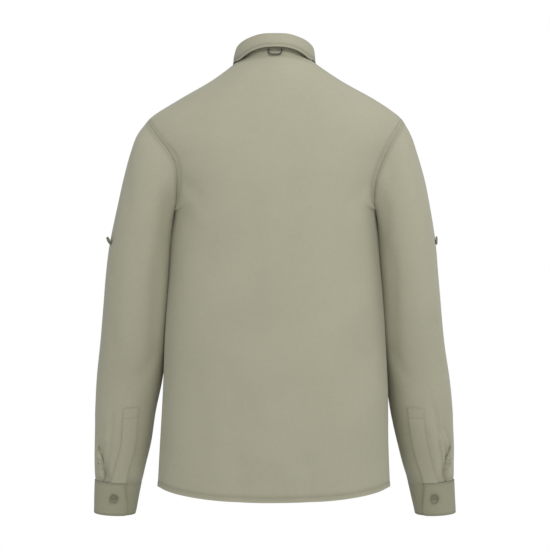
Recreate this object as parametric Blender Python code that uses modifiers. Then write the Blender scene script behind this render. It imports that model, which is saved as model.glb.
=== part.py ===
"""A long-sleeved travel shirt, filled out with no wearer, as walls of cloth.

Metres, +Z up. The origin is on the centre line, level with the shoulders at the neck.
The back faces -Y, the wearer's left is at -X, and each piece is one closed solid.
"""

import math

import bpy
import numpy as np
from mathutils import Vector

# Driving sizes
CLOTH = 0.0015  # wall of the panels and sleeves
BAND_WALL = 0.0018  # wall of the button band, folded double
COLLAR_WALL = 0.0018
FOLD_RADIUS = 0.0032  # of the collar's fold, on its outer side
FOLD_RISE = 0.0016  # of the fold's middle over the stand's top edge
CUFF_WALL = 0.0019
PLACKET_WALL = 0.0013
SEAM = 0.0005  # between two panels' outer edges, about 0.3 mm between their inner edges
GAP = 0.0004  # between a piece and what it lies on or against
TIP_CLEAR = 0.0005  # more room at the shoulder tip, where the walls turn toward each other
LIFT = 0.0007  # of a patch over the flat facets of a curved panel

# Neck seam: an oval ring that drops at the front
NECK_HALF_WIDTH = 0.0625
NECK_BACK = 0.064
NECK_FRONT = 0.068
NECK_SIDE_Z = 0.004
NECK_BACK_Z = 0.0127
NECK_FRONT_Z = -0.040

# Heights that the rows of the panels run between: neck seam, shoulder tip, underarm, hem
TIP_Z = -0.096
TIP_DROP = {"back": 0.004, "front": 0.010}  # of the tip's row at the centre line
UNDERARM_Z = -0.250
HEM_SIDE_Z = -0.713
HEM_CENTRE_Z = -0.724
NECK_ROWS = 5
ARMHOLE_ROWS = 10
SIDE_ROWS = 9
PANEL_COLUMNS = 20
BODY_MIDDLE = (0, 0, -0.35)  # a point inside the body, from which its walls face out

BAND_WIDTH = 0.030
BAND_PROUD = 0.0004  # of the band's outer side over the left front
UNDERLAP = 0.012  # of the right front past the centre line
STEP_IN = 0.0026  # of the right front under the band
STEP_START = 0.036  # where that step begins, from the centre line
STEP_RUN = 0.018

BUTTON_RADIUS = 0.007
BUTTON_HEIGHT = 0.0028
FRONT_BUTTON_Z = (-0.105, -0.190, -0.275, -0.360, -0.445, -0.530)
BUTTON_STEPS = 16

CUFF_LAP = 23.0  # angle of the cuff's top edge from straight back, toward the body
CUFF_UNDER = 38.0  # how far the cuff runs on under itself, in degrees
CUFF_COLUMNS = 30
CUFF_ROWS = (0.0, 0.5, 0.86, 1.0)  # shares of the cuff's height
CUFF_CORNER = 0.14  # share of the height that its rounded corner takes off
CUFF_CORNER_TURN = 9.0
CUFF_TUCK_START = 250.0  # degrees from the lap at which the cuff starts to go under itself
CUFF_TUCK_RUN = 80.0
TUCK_CLEAR = 0.0003  # more room where a band goes under itself

PLEAT_DEPTH = 0.0055
PLEAT_STEEP = 6.0  # degrees that the steep side of the pleat takes
PLEAT_SOFT = 30.0  # degrees that its soft side takes

LOOP_RADIUS = 0.0014
LOOP_OFF = 0.0008  # between the loop and the panel behind it

# The loop's line from its right end to its lowest point, as x and z
LOOP_PATH = ((0.0110, 0.0158), (0.0112, 0.0105), (0.0098, 0.0063), (0.0060, 0.0043), (0.0, 0.0038))


def table(names, *rows):
    """A table with named columns and a row for each section."""
    return [dict(zip(names.split(), row)) for row in rows]


# Level sections of the body. Square is 2 for an oval and more for a boxier shape.
BODY = table(
    "z       half_width left_extra back    front   square",
    (0.004, 0.0625, 0.0, 0.0640, 0.0520, 2.0),
    (-0.030, 0.1135, 0.0, 0.0820, 0.0640, 2.0),
    (-0.062, 0.1690, 0.0, 0.0945, 0.0800, 2.0),
    (-0.096, 0.2145, 0.0, 0.1045, 0.0970, 2.0),
    (-0.130, 0.2280, 0.0, 0.1110, 0.1100, 2.05),
    (-0.175, 0.2070, 0.0, 0.1165, 0.1190, 2.15),
    (-0.215, 0.1835, 0.0, 0.1195, 0.1235, 2.3),
    (-0.250, 0.1725, 0.0, 0.1210, 0.1250, 2.4),
    (-0.300, 0.1733, 0.0, 0.1220, 0.1260, 2.45),
    (-0.400, 0.1790, 0.0, 0.1240, 0.1270, 2.42),
    (-0.543, 0.1865, 0.0, 0.1265, 0.1280, 2.4),
    (-0.640, 0.1888, 0.0035, 0.1280, 0.1290, 2.4),
    (-0.724, 0.1910, 0.0065, 0.1290, 0.1300, 2.4),
)

# Distance of the armhole seam from the centre line, at each height
ARMHOLE = table(
    "z       back_left back_right front",
    (-0.096, 0.2140, 0.2140, 0.2140),
    (-0.112, 0.2060, 0.2080, 0.2040),
    (-0.130, 0.1930, 0.1975, 0.1890),
    (-0.150, 0.1770, 0.1865, 0.1710),
    (-0.175, 0.1640, 0.1755, 0.1590),
    (-0.200, 0.1610, 0.1670, 0.1580),
    (-0.225, 0.1625, 0.1645, 0.1605),
    (-0.242, 0.1665, 0.1670, 0.1660),
    (-0.250, 0.1725, 0.1725, 0.1725),
)

# Sloping sections of the sleeve, from its outer line to its inner line
SLEEVE = table(
    "outer_z outer_left outer_right inner_z inner_left inner_right depth forward square hold",
    (-0.0960, 0.2145, 0.2145, -0.2500, 0.1730, 0.1730, 0.0755, 0.000, 2.0, 1.0),
    (-0.1200, 0.2319, 0.2290, -0.2620, 0.1742, 0.1742, 0.0770, 0.000, 2.0, 0.72),
    (-0.1500, 0.2434, 0.2400, -0.2760, 0.1746, 0.1746, 0.0785, 0.001, 2.05, 0.45),
    (-0.1900, 0.2550, 0.2516, -0.2980, 0.1750, 0.1750, 0.0790, 0.002, 2.1, 0.20),
    (-0.2400, 0.2672, 0.2618, -0.3280, 0.1762, 0.1762, 0.0785, 0.004, 2.15, 0.05),
    (-0.3000, 0.2797, 0.2720, -0.3620, 0.1782, 0.1782, 0.0765, 0.006, 2.15, 0.0),
    (-0.3600, 0.2880, 0.2776, -0.3980, 0.1803, 0.1803, 0.0725, 0.009, 2.15, 0.0),
    (-0.4200, 0.2941, 0.2836, -0.4400, 0.1828, 0.1828, 0.0670, 0.012, 2.15, 0.0),
    (-0.4800, 0.2990, 0.2905, -0.4870, 0.1856, 0.1856, 0.0625, 0.016, 2.1, 0.0),
    (-0.5400, 0.3050, 0.2995, -0.5360, 0.1925, 0.1900, 0.0575, 0.020, 2.1, 0.0),
    (-0.6000, 0.3085, 0.3056, -0.5940, 0.2055, 0.1985, 0.0525, 0.023, 2.05, 0.0),
    (-0.6500, 0.3095, 0.3080, -0.6480, 0.2160, 0.2105, 0.0465, 0.026, 2.0, 0.0),
    (-0.6850, 0.3097, 0.3072, -0.6860, 0.2256, 0.2200, 0.0415, 0.028, 2.0, 0.0),
    (-0.7085, 0.3090, 0.3068, -0.7115, 0.2317, 0.2283, 0.0385, 0.030, 2.0, 0.0),
)
SLEEVE_ROW_STEP = (2, 2, 2, 1, 1, 1, 1, 1, 1, 2, 2, 2, 2)  # rows between two sections

CUFF = table(
    "end outer_z outer_left outer_right inner_z inner_left inner_right depth forward",
    (0.0, -0.7091, 0.3102, 0.3080, -0.7121, 0.2305, 0.2271, 0.0397, 0.030),
    (1.0, -0.7655, 0.3118, 0.3092, -0.7675, 0.2400, 0.2398, 0.0360, 0.031),
)

# The pleat at the cuff: its angle from the outer line, and its share of the full depth
PLEAT = table(
    "z       angle share",
    (-0.6400, 27.0, 0.0),
    (-0.6600, 32.0, 0.45),
    (-0.6850, 39.0, 1.0),
    (-0.7000, 44.0, 0.9),
    (-0.7085, 46.0, 0.35),
)

# The placket on the sleeve, as angles from the outer line
PLACKET = table(
    "z       outer inner",
    (-0.5850, 86.0, 112.0),
    (-0.6500, 83.0, 113.0),
    (-0.7085, 76.0, 113.0),
)

# The turned-down collar, by angle round the neck from the centre back: where its lower
# edge is, how far out that is from the stand, and how high over the body
FALL = table(
    "angle edge_angle out    over",
    (0.0, 0.0, 0.0150, 0.0315),
    (30.0, 28.0, 0.0140, 0.0265),
    (60.0, 55.0, 0.0110, 0.0135),
    (90.0, 80.0, 0.0088, 0.0035),
    (120.0, 104.0, 0.0120, 0.0045),
    (150.0, 127.0, 0.0225, 0.0070),
    (172.0, 149.0, 0.0400, 0.0070),
)

# Height of the collar's fold line, and how far the stand leans from the neck seam
STAND = table(
    "angle fold_z  lean",
    (0.0, 0.0423, -0.0040),
    (45.0, 0.0370, -0.0015),
    (90.0, 0.0280, 0.0005),
    (135.0, 0.0030, -0.0010),
    (180.0, -0.0180, -0.0030),
    (192.0, -0.0200, -0.0030),
)

STAND_END = 190.0  # the stand's ends, past the centre front, so that they lap
STAND_COLUMNS = 44
STAND_ROUND_START = 176.0  # from here on its top edge rounds down
STAND_ROUND = 0.25  # by this share of its height
STAND_TUCK_START = 140.0  # from here on its right end goes under its left one
STAND_TUCK_RUN = 30.0
FALL_END = 172.0
FALL_COLUMNS = 36
FALL_ROWS = 4  # below the fold
FALL_BOW = 0.0015  # of the fall between its fold and its edge


def curve(rows, key, value):
    """The table's columns at a value of one of them, on a smooth curve through the rows."""
    keys = np.array([row[key] for row in rows])
    turn = 1 if keys[-1] > keys[0] else -1
    keys = keys * turn
    at = min(max(value * turn, keys[0]), keys[-1])
    i = int(min(max(np.searchsorted(keys, at) - 1, 0), len(keys) - 2))
    data = np.array([[row[name] for name in rows[0]] for row in rows])
    slopes = np.diff(data, axis=0) / np.diff(keys)[:, None]
    width = np.diff(keys)

    def tangent(k):
        if k == 0 or k == len(keys) - 1:
            return slopes[min(k, len(slopes) - 1)]
        a, b = width[k - 1], width[k]
        return (slopes[k - 1] * b + slopes[k] * a) / (a + b)

    h = width[i]
    f = (at - keys[i]) / h
    found = (
        (2 * f**3 - 3 * f**2 + 1) * data[i]
        + (f**3 - 2 * f**2 + f) * h * tangent(i)
        + (3 * f**2 - 2 * f**3) * data[i + 1]
        + (f**3 - f**2) * h * tangent(i + 1)
    )
    return dict(zip(rows[0], found))


def ease(f):
    """0 to 1 with a soft start and end."""
    f = min(max(f, 0.0), 1.0)
    return f * f * (3 - 2 * f)


def oval(angle, square):
    """Cosine and sine on an oval, or on a boxier oval."""
    c, s = math.cos(angle), math.sin(angle)
    power = 2 / square
    return math.copysign(abs(c) ** power, c), math.copysign(abs(s) ** power, s)


# The body: front and back panels


def neck_point(angle):
    """The neck seam at an angle from the centre back, positive toward +X."""
    c, s = math.cos(angle), math.sin(angle)
    depth, drop = (NECK_BACK, NECK_BACK_Z) if c > 0 else (NECK_FRONT, NECK_FRONT_Z)
    return Vector((NECK_HALF_WIDTH * s, -depth * c, NECK_SIDE_Z + (drop - NECK_SIDE_Z) * c * c))


def body_point(side, face, angle, z):
    """The body at an angle from its side line. Face is "back" or "front"."""
    row = curve(BODY, "z", z)
    half = row["half_width"] + (row["left_extra"] if side < 0 else 0.0)
    c, s = oval(angle, row["square"])
    return Vector((side * half * c, (-1 if face == "back" else 1) * row[face] * s, z))


def angle_at(side, x, z):
    """The angle at which the body is x from the centre line."""
    row = curve(BODY, "z", z)
    half = row["half_width"] + (row["left_extra"] if side < 0 else 0.0)
    share = max(-1.0, min(1.0, x / half))
    return math.acos(math.copysign(abs(share) ** (row["square"] / 2), share))


def seam_x(side, face, z):
    """How far the armhole seam is from the centre line."""
    row = curve(ARMHOLE, "z", z)
    if face == "front":
        return row["front"]
    return row["back_left"] if side < 0 else row["back_right"]


def row_heights(face):
    """The height of each row at its side edge and at the centre line."""
    neck = (NECK_SIDE_Z, NECK_BACK_Z if face == "back" else NECK_FRONT_Z)
    tip = (TIP_Z, TIP_Z - TIP_DROP[face])
    underarm = (UNDERARM_Z, UNDERARM_Z)
    hem = (HEM_SIDE_Z, HEM_CENTRE_Z)

    def between(above, below, f):
        return tuple(a + f * (b - a) for a, b in zip(above, below))

    rows = [between(neck, tip, i / NECK_ROWS) for i in range(NECK_ROWS)]
    for i in range(ARMHOLE_ROWS):
        rows.append(between(tip, underarm, (1 - math.cos(math.pi * i / ARMHOLE_ROWS)) / 2))
    return rows + [between(underarm, hem, i / SIDE_ROWS) for i in range(SIDE_ROWS + 1)]


def panel_row(side, face, number, share, end_x):
    """A point of a panel's row, from its side edge (share 0) to end_x from the centre line."""
    side_z, centre_z = row_heights(face)[number]
    seam = (-1 if face == "back" else 1) * SEAM / 2
    if number == 0:
        end = math.acos(max(-1.0, min(1.0, end_x / NECK_HALF_WIDTH)))
        angle = share * end
        from_back = math.pi / 2 - angle if face == "back" else math.pi / 2 + angle
        point = neck_point(side * from_back)
    else:
        start = 0.0
        if NECK_ROWS < number < NECK_ROWS + ARMHOLE_ROWS:
            start = angle_at(side, seam_x(side, face, side_z), side_z)
        end = angle_at(side, end_x, centre_z)
        angle = start + share * (end - start)
        across = min(1.0, (angle - start) / (math.pi / 2 - start))
        z = side_z + (centre_z - side_z) * math.sin(across * math.pi / 2) ** 2
        point = body_point(side, face, angle, z)
    point.y += seam
    return point


def panel_rows(side, face, columns, end_x=0.0):
    """All the rows of a half panel, from its side edge to the centre or past it."""
    count = len(row_heights(face))
    return [
        [panel_row(side, face, number, i / columns, end_x) for i in range(columns + 1)]
        for number in range(count)
    ]


# Making the pieces


def linear(value):
    """A colour channel of 0 to 255 as Blender's linear value."""
    value /= 255
    return value / 12.92 if value <= 0.04045 else ((value + 0.055) / 1.055) ** 2.4


def material(name, colour, roughness):
    """A plain finish."""
    made = bpy.data.materials.new(name)
    made.use_nodes = True
    shader = made.node_tree.nodes["Principled BSDF"]
    shader.inputs["Base Color"].default_value = (*[linear(v) for v in colour], 1)
    shader.inputs["Roughness"].default_value = roughness
    shader.inputs["Metallic"].default_value = 0.0
    made.diffuse_color = shader.inputs["Base Color"].default_value
    return made


def keep(piece, finish):
    """Puts a piece in the shirt's collection with its finish."""
    for group in list(piece.users_collection):
        group.objects.unlink(piece)
    bpy.data.collections["travel_shirt"].objects.link(piece)
    piece.data.materials.append(finish)
    return piece


def wall(name, grid, thickness, finish, inside, ring=False):
    """A cloth wall: the grid is its outer side, and Solidify thickens it inwards."""
    columns = len(grid[0])
    corners = []
    for above in range(0, (len(grid) - 1) * columns, columns):
        below = above + columns
        for c in range(columns if ring else columns - 1):
            after = (c + 1) % columns
            corners.append((above + c, below + c, below + after, above + after))
    mesh = bpy.data.meshes.new(name)
    mesh.from_pydata([point for row in grid for point in row], [], corners)
    centre = Vector(inside)
    if sum(face.normal.dot(face.center - centre) * face.area for face in mesh.polygons) < 0:
        mesh.flip_normals()
    mesh.shade_smooth()
    piece = keep(bpy.data.objects.new(name, mesh), finish)
    solid = piece.modifiers.new("wall", "SOLIDIFY")
    solid.thickness = thickness
    solid.offset = -1
    return piece


def make_back(finish):
    """The back, in one piece from side seam to side seam."""
    left = panel_rows(-1, "back", PANEL_COLUMNS // 2)
    right = panel_rows(1, "back", PANEL_COLUMNS // 2)
    grid = [a + b[-2::-1] for a, b in zip(left, right)]
    wall("back", grid, CLOTH, finish, BODY_MIDDLE)


def make_fronts(finish):
    """The fronts and the button band, which laps over the right front."""
    half = BAND_WIDTH / 2
    left = panel_rows(-1, "front", PANEL_COLUMNS // 2, half + GAP)
    wall("front_left", left, CLOTH, finish, BODY_MIDDLE)
    right = panel_rows(1, "front", PANEL_COLUMNS // 2 + 2, -UNDERLAP)
    for row in right:
        for point in row:
            point.y -= STEP_IN * ease((STEP_START - point.x) / STEP_RUN)
    wall("front_right", right, CLOTH, finish, BODY_MIDDLE)
    band = []
    for number in range(len(row_heights("front"))):
        row = []
        for x in (-half, -half / 3, half / 3, half):
            side = -1 if x < 0 else 1
            row.append(panel_row(side, "front", number, 1.0, abs(x)) + Vector((0, BAND_PROUD, 0)))
        band.append(row)
    wall("front_band", band, BAND_WALL, finish, BODY_MIDDLE)


# The sleeves and what is on them

MAIN_COLUMNS = 2 * ARMHOLE_ROWS
EXTRA_COLUMNS = (24.0, 30.0, 42.0, 48.0)  # degrees, where the pleat runs


def column_angles():
    """The sleeve's columns, from its outer line by the back and the inner line."""
    even = [i * 360 / MAIN_COLUMNS for i in range(MAIN_COLUMNS)]
    return sorted(even + list(EXTRA_COLUMNS))


def armhole_point(side, degrees):
    """The armhole seam on straight lines between the ends of the panels' rows."""
    step = 360 / MAIN_COLUMNS
    whole = int(degrees // step)

    def corner(number):
        number %= MAIN_COLUMNS
        face = "back" if number <= ARMHOLE_ROWS else "front"
        row = number if face == "back" else MAIN_COLUMNS - number
        return panel_row(side, face, NECK_ROWS + row, 0.0, 0.0)

    return corner(whole).lerp(corner(whole + 1), degrees / step - whole)


def oval_section(row, side, degrees):
    """A point of a sloping section, from its outer line by the back to its inner line."""
    outer, inner = ("outer_left", "inner_left") if side < 0 else ("outer_right", "inner_right")
    start = Vector((side * row[outer], row["forward"], row["outer_z"]))
    end = Vector((side * row[inner], row["forward"], row["inner_z"]))
    c, s = oval(math.radians(degrees), row.get("square", 2.0))
    return (start + end) / 2 + (start - end) / 2 * c + Vector((0, -row["depth"] * s, 0))


def pleat_depth(z, degrees):
    """How far the pleat presses the cloth in: a steep side outward, a soft one inward."""
    if z > PLEAT[0]["z"]:
        return 0.0
    row = curve(PLEAT, "z", z)
    past = degrees - row["angle"]
    steep = ease(past / PLEAT_STEEP)
    soft = ease((past - PLEAT_STEEP + 1) / PLEAT_SOFT)
    return PLEAT_DEPTH * row["share"] * (steep - soft)


def sleeve_point(side, z, degrees):
    """The sleeve at a height of its outer line and an angle from it."""
    row = curve(SLEEVE, "outer_z", z)
    point = oval_section(row, side, degrees)
    if row["hold"] > 0:
        first = oval_section(SLEEVE[0], side, degrees)
        clear = SEAM + TIP_CLEAR * max(0.0, math.cos(math.radians(degrees))) ** 2
        point += (armhole_point(side, degrees) + Vector((side * clear, 0, 0)) - first) * row["hold"]
    centre = (oval_section(row, side, 0) + oval_section(row, side, 180)) / 2
    return point + (centre - point).normalized() * pleat_depth(z, degrees)


def sleeve_heights():
    """The heights of the sleeve's rows."""
    heights = []
    for above, below, count in zip(SLEEVE, SLEEVE[1:], SLEEVE_ROW_STEP):
        for i in range(count):
            heights.append(above["outer_z"] + (below["outer_z"] - above["outer_z"]) * i / count)
    return heights + [SLEEVE[-1]["outer_z"]]


def outward(point, near, other):
    """The normal of a surface from three points on it, turned away from a sleeve's middle."""
    return (near - point).cross(other - point).normalized()


def patch(side, surface, heights, edges, columns, lift):
    """A grid over a sleeve, moved out from its points."""
    grid = []
    for z in heights:
        start, end = edges(z)
        row = []
        for i in range(columns + 1):
            degrees = start + (end - start) * i / columns
            point = surface(side, z, degrees)
            normal = outward(point, surface(side, z, degrees + 2), surface(side, z + 0.004, degrees))
            if normal.y > 0:
                normal.negate()
            row.append(point + normal * lift)
        grid.append(row)
    return grid


def make_sleeve(side, word, finish):
    """A sleeve, its placket and its cuff."""
    angles = column_angles()
    grid = [[sleeve_point(side, z, a) for a in angles] for z in sleeve_heights()]
    middle = (side * 0.24, 0.01, -0.42)
    wall("sleeve_" + word, grid, CLOTH, finish, middle, ring=True)

    heights = [PLACKET[0]["z"]] + [z for z in sleeve_heights() if z < PLACKET[0]["z"] - 0.004]

    def edges(z):
        row = curve(PLACKET, "z", z)
        return row["outer"], row["inner"]

    cover = patch(side, sleeve_point, heights, edges, 5, LIFT + PLACKET_WALL)
    wall("sleeve_placket_" + word, cover, PLACKET_WALL, finish, (side * 0.26, 0.04, -0.65))
    make_cuff(side, word, finish)


def cuff_point(side, end, degrees, deep=0.0):
    """The cuff at a share of its height (0 is its seam) and an angle from its outer line."""
    row = curve(CUFF, "end", end)
    point = oval_section(row, side, degrees)
    centre = (oval_section(row, side, 0) + oval_section(row, side, 180)) / 2
    return point + (centre - point).normalized() * deep


def make_cuff(side, word, finish):
    """A band that starts at its lap, goes round by the outer line and ends under itself."""
    start = 90 + CUFF_LAP
    total = 360 + CUFF_UNDER
    tuck = CUFF_WALL + GAP + TUCK_CLEAR
    grid = []
    for end in CUFF_ROWS:
        row = []
        for i in range(CUFF_COLUMNS + 1):
            gone = total * i / CUFF_COLUMNS
            deep = tuck * ease((gone - CUFF_TUCK_START) / CUFF_TUCK_RUN)
            corner = CUFF_CORNER * (1 - ease(gone / CUFF_CORNER_TURN))
            reach = 1.0 - corner if end == CUFF_ROWS[-1] else end
            row.append(cuff_point(side, reach, start - gone, deep))
        grid.append(row)
    wall("cuff_" + word, grid, CUFF_WALL, finish, (side * 0.27, 0.03, -0.74))


# The collar


def outward_from_neck(angle):
    """The level direction away from the neck seam."""
    ahead, behind = neck_point(angle + 0.01), neck_point(angle - 0.01)
    along = ahead - behind
    return Vector((along.y, -along.x, 0)).normalized()


def stand_point(degrees, height, deep=0.0):
    """The stand's outer side: height 0 is the neck seam and 1 its top edge."""
    angle = math.radians(degrees)
    row = curve(STAND, "angle", abs(degrees))
    foot = neck_point(angle) + Vector((0, 0, GAP))
    out = outward_from_neck(angle)
    top = foot + out * row["lean"]
    top.z = row["fold_z"] - FOLD_RADIUS - FOLD_RISE
    return foot.lerp(top, height) - out * deep


def make_stand(finish):
    """The stand, whose left end laps over its right end at the front."""
    tuck = COLLAR_WALL + GAP + TUCK_CLEAR
    grid = []
    for height in (0.0, 0.5, 1.0):
        row = []
        for i in range(STAND_COLUMNS + 1):
            degrees = STAND_END * (2 * i / STAND_COLUMNS - 1)
            low = STAND_ROUND * ease((abs(degrees) - STAND_ROUND_START) / (STAND_END - STAND_ROUND_START))
            deep = tuck * ease((degrees - STAND_TUCK_START) / STAND_TUCK_RUN)
            row.append(stand_point(degrees, height * (1 - low), deep))
        grid.append(row)
    wall("collar_stand", grid, COLLAR_WALL, finish, (0, 0, 0))


def body_height(face, x, y):
    """How high the body's panel is over a point in plan."""
    low, high = -0.30, 0.004
    for _ in range(40):
        z = (low + high) / 2
        row = curve(BODY, "z", z)
        square = row["square"]
        inside = (abs(x) / row["half_width"]) ** square + (abs(y) / row[face]) ** square < 1
        low, high = (z, high) if inside else (low, z)
    return low


def fall_points(degrees):
    """The turned-down collar at one angle: round the fold and down to its lower edge."""
    sign = -1 if degrees < 0 else 1
    row = curve(FALL, "angle", abs(degrees))
    top = stand_point(degrees, 1.0)
    out = outward_from_neck(math.radians(degrees))
    radius = FOLD_RADIUS
    middle = top + out * (radius - COLLAR_WALL - GAP) + Vector((0, 0, FOLD_RISE))
    points = []
    for turn in (180, 135, 90, 45, 0):
        a = math.radians(turn)
        points.append(middle + out * radius * math.cos(a) + Vector((0, 0, radius * math.sin(a))))
    edge_angle = math.radians(sign * row["edge_angle"])
    edge = neck_point(edge_angle) + outward_from_neck(edge_angle) * row["out"]
    face = "back" if edge.y < 0 else "front"
    edge.z = body_height(face, edge.x, edge.y) + row["over"]
    start = points[-1]
    for i in range(1, FALL_ROWS + 1):
        f = i / FALL_ROWS
        points.append(start.lerp(edge, f) + out * FALL_BOW * math.sin(math.pi * f))
    return points


def make_fall(finish):
    """The part of the collar that turns down, open at the front."""
    around = [fall_points(FALL_END * (2 * i / FALL_COLUMNS - 1)) for i in range(FALL_COLUMNS + 1)]
    grid = [[points[r] for points in around] for r in range(len(around[0]))]
    wall("collar_fall", grid, COLLAR_WALL, finish, (0, 0, -0.02))


# Small pieces

# Half a button's section, from the middle of its face over the rim to its back
BUTTON_PROFILE = table(
    "out  up",
    (0.0, 0.62),
    (0.55, 0.66),
    (0.72, 1.0),
    (0.9, 1.0),
    (1.0, 0.6),
    (0.82, 0.0),
    (0.0, 0.0),
)

# The roll-up buttons, left and right: how far each droops, and how far it stands off
TAB_BUTTON = table(
    "angle z        droop off",
    (27, -0.2970, 0.62, 0.0034),
    (18, -0.2985, 0.12, 0.0010),
)
STAND_BUTTON_HEIGHT = 0.42  # share of the stand's height
STAND_BUTTON_OFF = 0.0009  # more room over the stand's curve
BAND_BUTTON_OFF = 0.0005
CUFF_BUTTON_HEIGHT = 0.46  # share of the cuff's height, from its seam


def make_loop(finish):
    """The hanging loop: a cord held in the neck seam at the centre back."""
    route = [(-x, z) for x, z in LOOP_PATH] + [(x, z) for x, z in LOOP_PATH[-2::-1]]
    flat = bpy.data.curves.new("hanging_loop", "CURVE")
    flat.dimensions = "3D"
    flat.bevel_depth = LOOP_RADIUS
    flat.bevel_resolution = 2
    flat.use_fill_caps = True
    line = flat.splines.new("POLY")
    line.points.add(len(route) - 1)
    for place, (x, z) in zip(line.points, route):
        ring = neck_point(math.asin(x / NECK_HALF_WIDTH))
        second = panel_row(1, "back", 1, 1.0, abs(x))
        down = max(0.0, ring.z - z) / (ring.z - second.z)
        y = ring.y + (second.y - ring.y) * down
        place.co = (x, y - LOOP_RADIUS - LOOP_OFF, z, 1)
    keep(bpy.data.objects.new("hanging_loop", flat), finish)


def button_mesh():
    """A turned button with a raised rim, its face at +Z."""
    points = [(row["out"] * BUTTON_RADIUS, 0, row["up"] * BUTTON_HEIGHT) for row in BUTTON_PROFILE]
    mesh = bpy.data.meshes.new("button")
    mesh.from_pydata(points, [(i, i + 1) for i in range(len(points) - 1)], [])
    return mesh


def make_button(name, place, normal, finish):
    """A button with its back at a place, facing along a normal."""
    piece = keep(bpy.data.objects.new(name, button_mesh()), finish)
    turned = piece.modifiers.new("turned", "SCREW")
    turned.steps = BUTTON_STEPS
    turned.render_steps = BUTTON_STEPS
    turned.use_merge_vertices = True
    turned.merge_threshold = 0.0001
    piece.location = place
    piece.rotation_euler = Vector(normal).to_track_quat("Z", "Y").to_euler()


def surface_normal(side, point_at, z, degrees, step):
    """The outward normal of a sleeve or a cuff."""
    here = point_at(side, z, degrees)
    normal = outward(here, point_at(side, z, degrees + 3), point_at(side, z + step, degrees))
    away = Vector((side * math.cos(math.radians(degrees)), -math.sin(math.radians(degrees)), 0))
    return normal if normal.dot(away) > 0 else -normal


def make_buttons(finish):
    """The buttons of the stand, the band, the cuffs and the upper sleeves."""
    front = Vector((0, 1, 0))
    stand = stand_point(-180, STAND_BUTTON_HEIGHT)
    make_button("button_stand", stand + front * (GAP + STAND_BUTTON_OFF), front, finish)
    for number, z in enumerate(FRONT_BUTTON_Z, 1):
        above = body_point(1, "front", math.pi / 2, z + BUTTON_RADIUS)
        below = body_point(1, "front", math.pi / 2, z - BUTTON_RADIUS)
        slope = (above - below).cross(Vector((-1, 0, 0))).normalized()
        slope = slope if slope.y > 0 else -slope
        place = body_point(1, "front", math.pi / 2, z) + Vector((0, BAND_PROUD + SEAM / 2, 0))
        make_button("button_front_%d" % number, place + slope * BAND_BUTTON_OFF, slope, finish)
    for side, word, tab in zip((-1, 1), ("left", "right"), TAB_BUTTON):
        normal = surface_normal(side, cuff_point, CUFF_BUTTON_HEIGHT, 90, -0.05)
        place = cuff_point(side, CUFF_BUTTON_HEIGHT, 90) + normal * GAP
        make_button("cuff_button_" + word, place, normal, finish)
        normal = surface_normal(side, sleeve_point, tab["z"], tab["angle"], 0.01)
        place = sleeve_point(side, tab["z"], tab["angle"]) + normal * tab["off"]
        make_button("tab_button_" + word, place, normal + Vector((0, 0, -tab["droop"])), finish)


def main():
    for old in list(bpy.data.objects):
        bpy.data.objects.remove(old, do_unlink=True)
    group = bpy.data.collections.new("travel_shirt")
    bpy.context.scene.collection.children.link(group)
    cloth = material("sage_cloth", (166, 163, 141), 0.8)
    cord = material("loop_cord", (74, 82, 74), 0.7)
    plastic = material("button_plastic", (108, 110, 90), 0.45)
    make_back(cloth)
    make_fronts(cloth)
    make_stand(cloth)
    make_fall(cloth)
    make_sleeve(-1, "left", cloth)
    make_sleeve(1, "right", cloth)
    make_loop(cord)
    make_buttons(plastic)


main()
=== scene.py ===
# %% [markdown]
# # A travel shirt, seen from behind
#
# The shirt stands in the air as if someone wore it, with nobody inside. It is sewn from
# flat pieces of thin cloth: a back, two fronts, two sleeves, a collar and two cuffs.
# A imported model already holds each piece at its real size. This file loads that model as
# a frame, and then makes a finer piece of cloth in the place of each plain one.

# %% Load the frame
import math

import bpy
import numpy as np
from mathutils import Matrix, Vector


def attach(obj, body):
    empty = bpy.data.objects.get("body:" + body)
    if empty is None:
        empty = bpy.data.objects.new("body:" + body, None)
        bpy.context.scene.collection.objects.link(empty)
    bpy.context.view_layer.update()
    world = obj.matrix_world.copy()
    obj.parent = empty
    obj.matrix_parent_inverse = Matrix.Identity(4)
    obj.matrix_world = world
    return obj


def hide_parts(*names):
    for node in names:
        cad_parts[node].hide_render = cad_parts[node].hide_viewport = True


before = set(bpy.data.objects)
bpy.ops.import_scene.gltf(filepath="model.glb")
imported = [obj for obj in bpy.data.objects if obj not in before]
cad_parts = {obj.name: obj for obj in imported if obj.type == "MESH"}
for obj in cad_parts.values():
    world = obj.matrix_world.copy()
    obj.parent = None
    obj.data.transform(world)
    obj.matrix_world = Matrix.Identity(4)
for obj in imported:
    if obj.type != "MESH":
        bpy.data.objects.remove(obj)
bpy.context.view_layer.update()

print("the frame holds", len(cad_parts), "pieces")

# %% [markdown]
# ## The camera
#
# The picture was taken from straight behind, level with the middle of the shirt and from
# far enough away that the cloth hardly grows toward the edges. A long lens does the same
# here. The camera comes first, so that every later step can be judged in its view.

# %% Camera
VIEW_DISTANCE = 2.30
VIEW_HEIGHT = -0.358
LENS = 88.56  # millimetres


def deselect():
    """Operators act on all that is selected, so each step starts with nothing selected."""
    if bpy.context.object and bpy.context.object.mode != "OBJECT":
        bpy.ops.object.mode_set(mode="OBJECT")
    bpy.ops.object.select_all(action="DESELECT")


deselect()
bpy.ops.object.camera_add(location=(0, -VIEW_DISTANCE, VIEW_HEIGHT), rotation=(math.pi / 2, 0, 0))
camera = bpy.context.object
camera.name = "photo_view"
camera.data.lens = LENS
bpy.context.scene.camera = camera
print("camera", VIEW_DISTANCE, "m behind the shirt")

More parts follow.
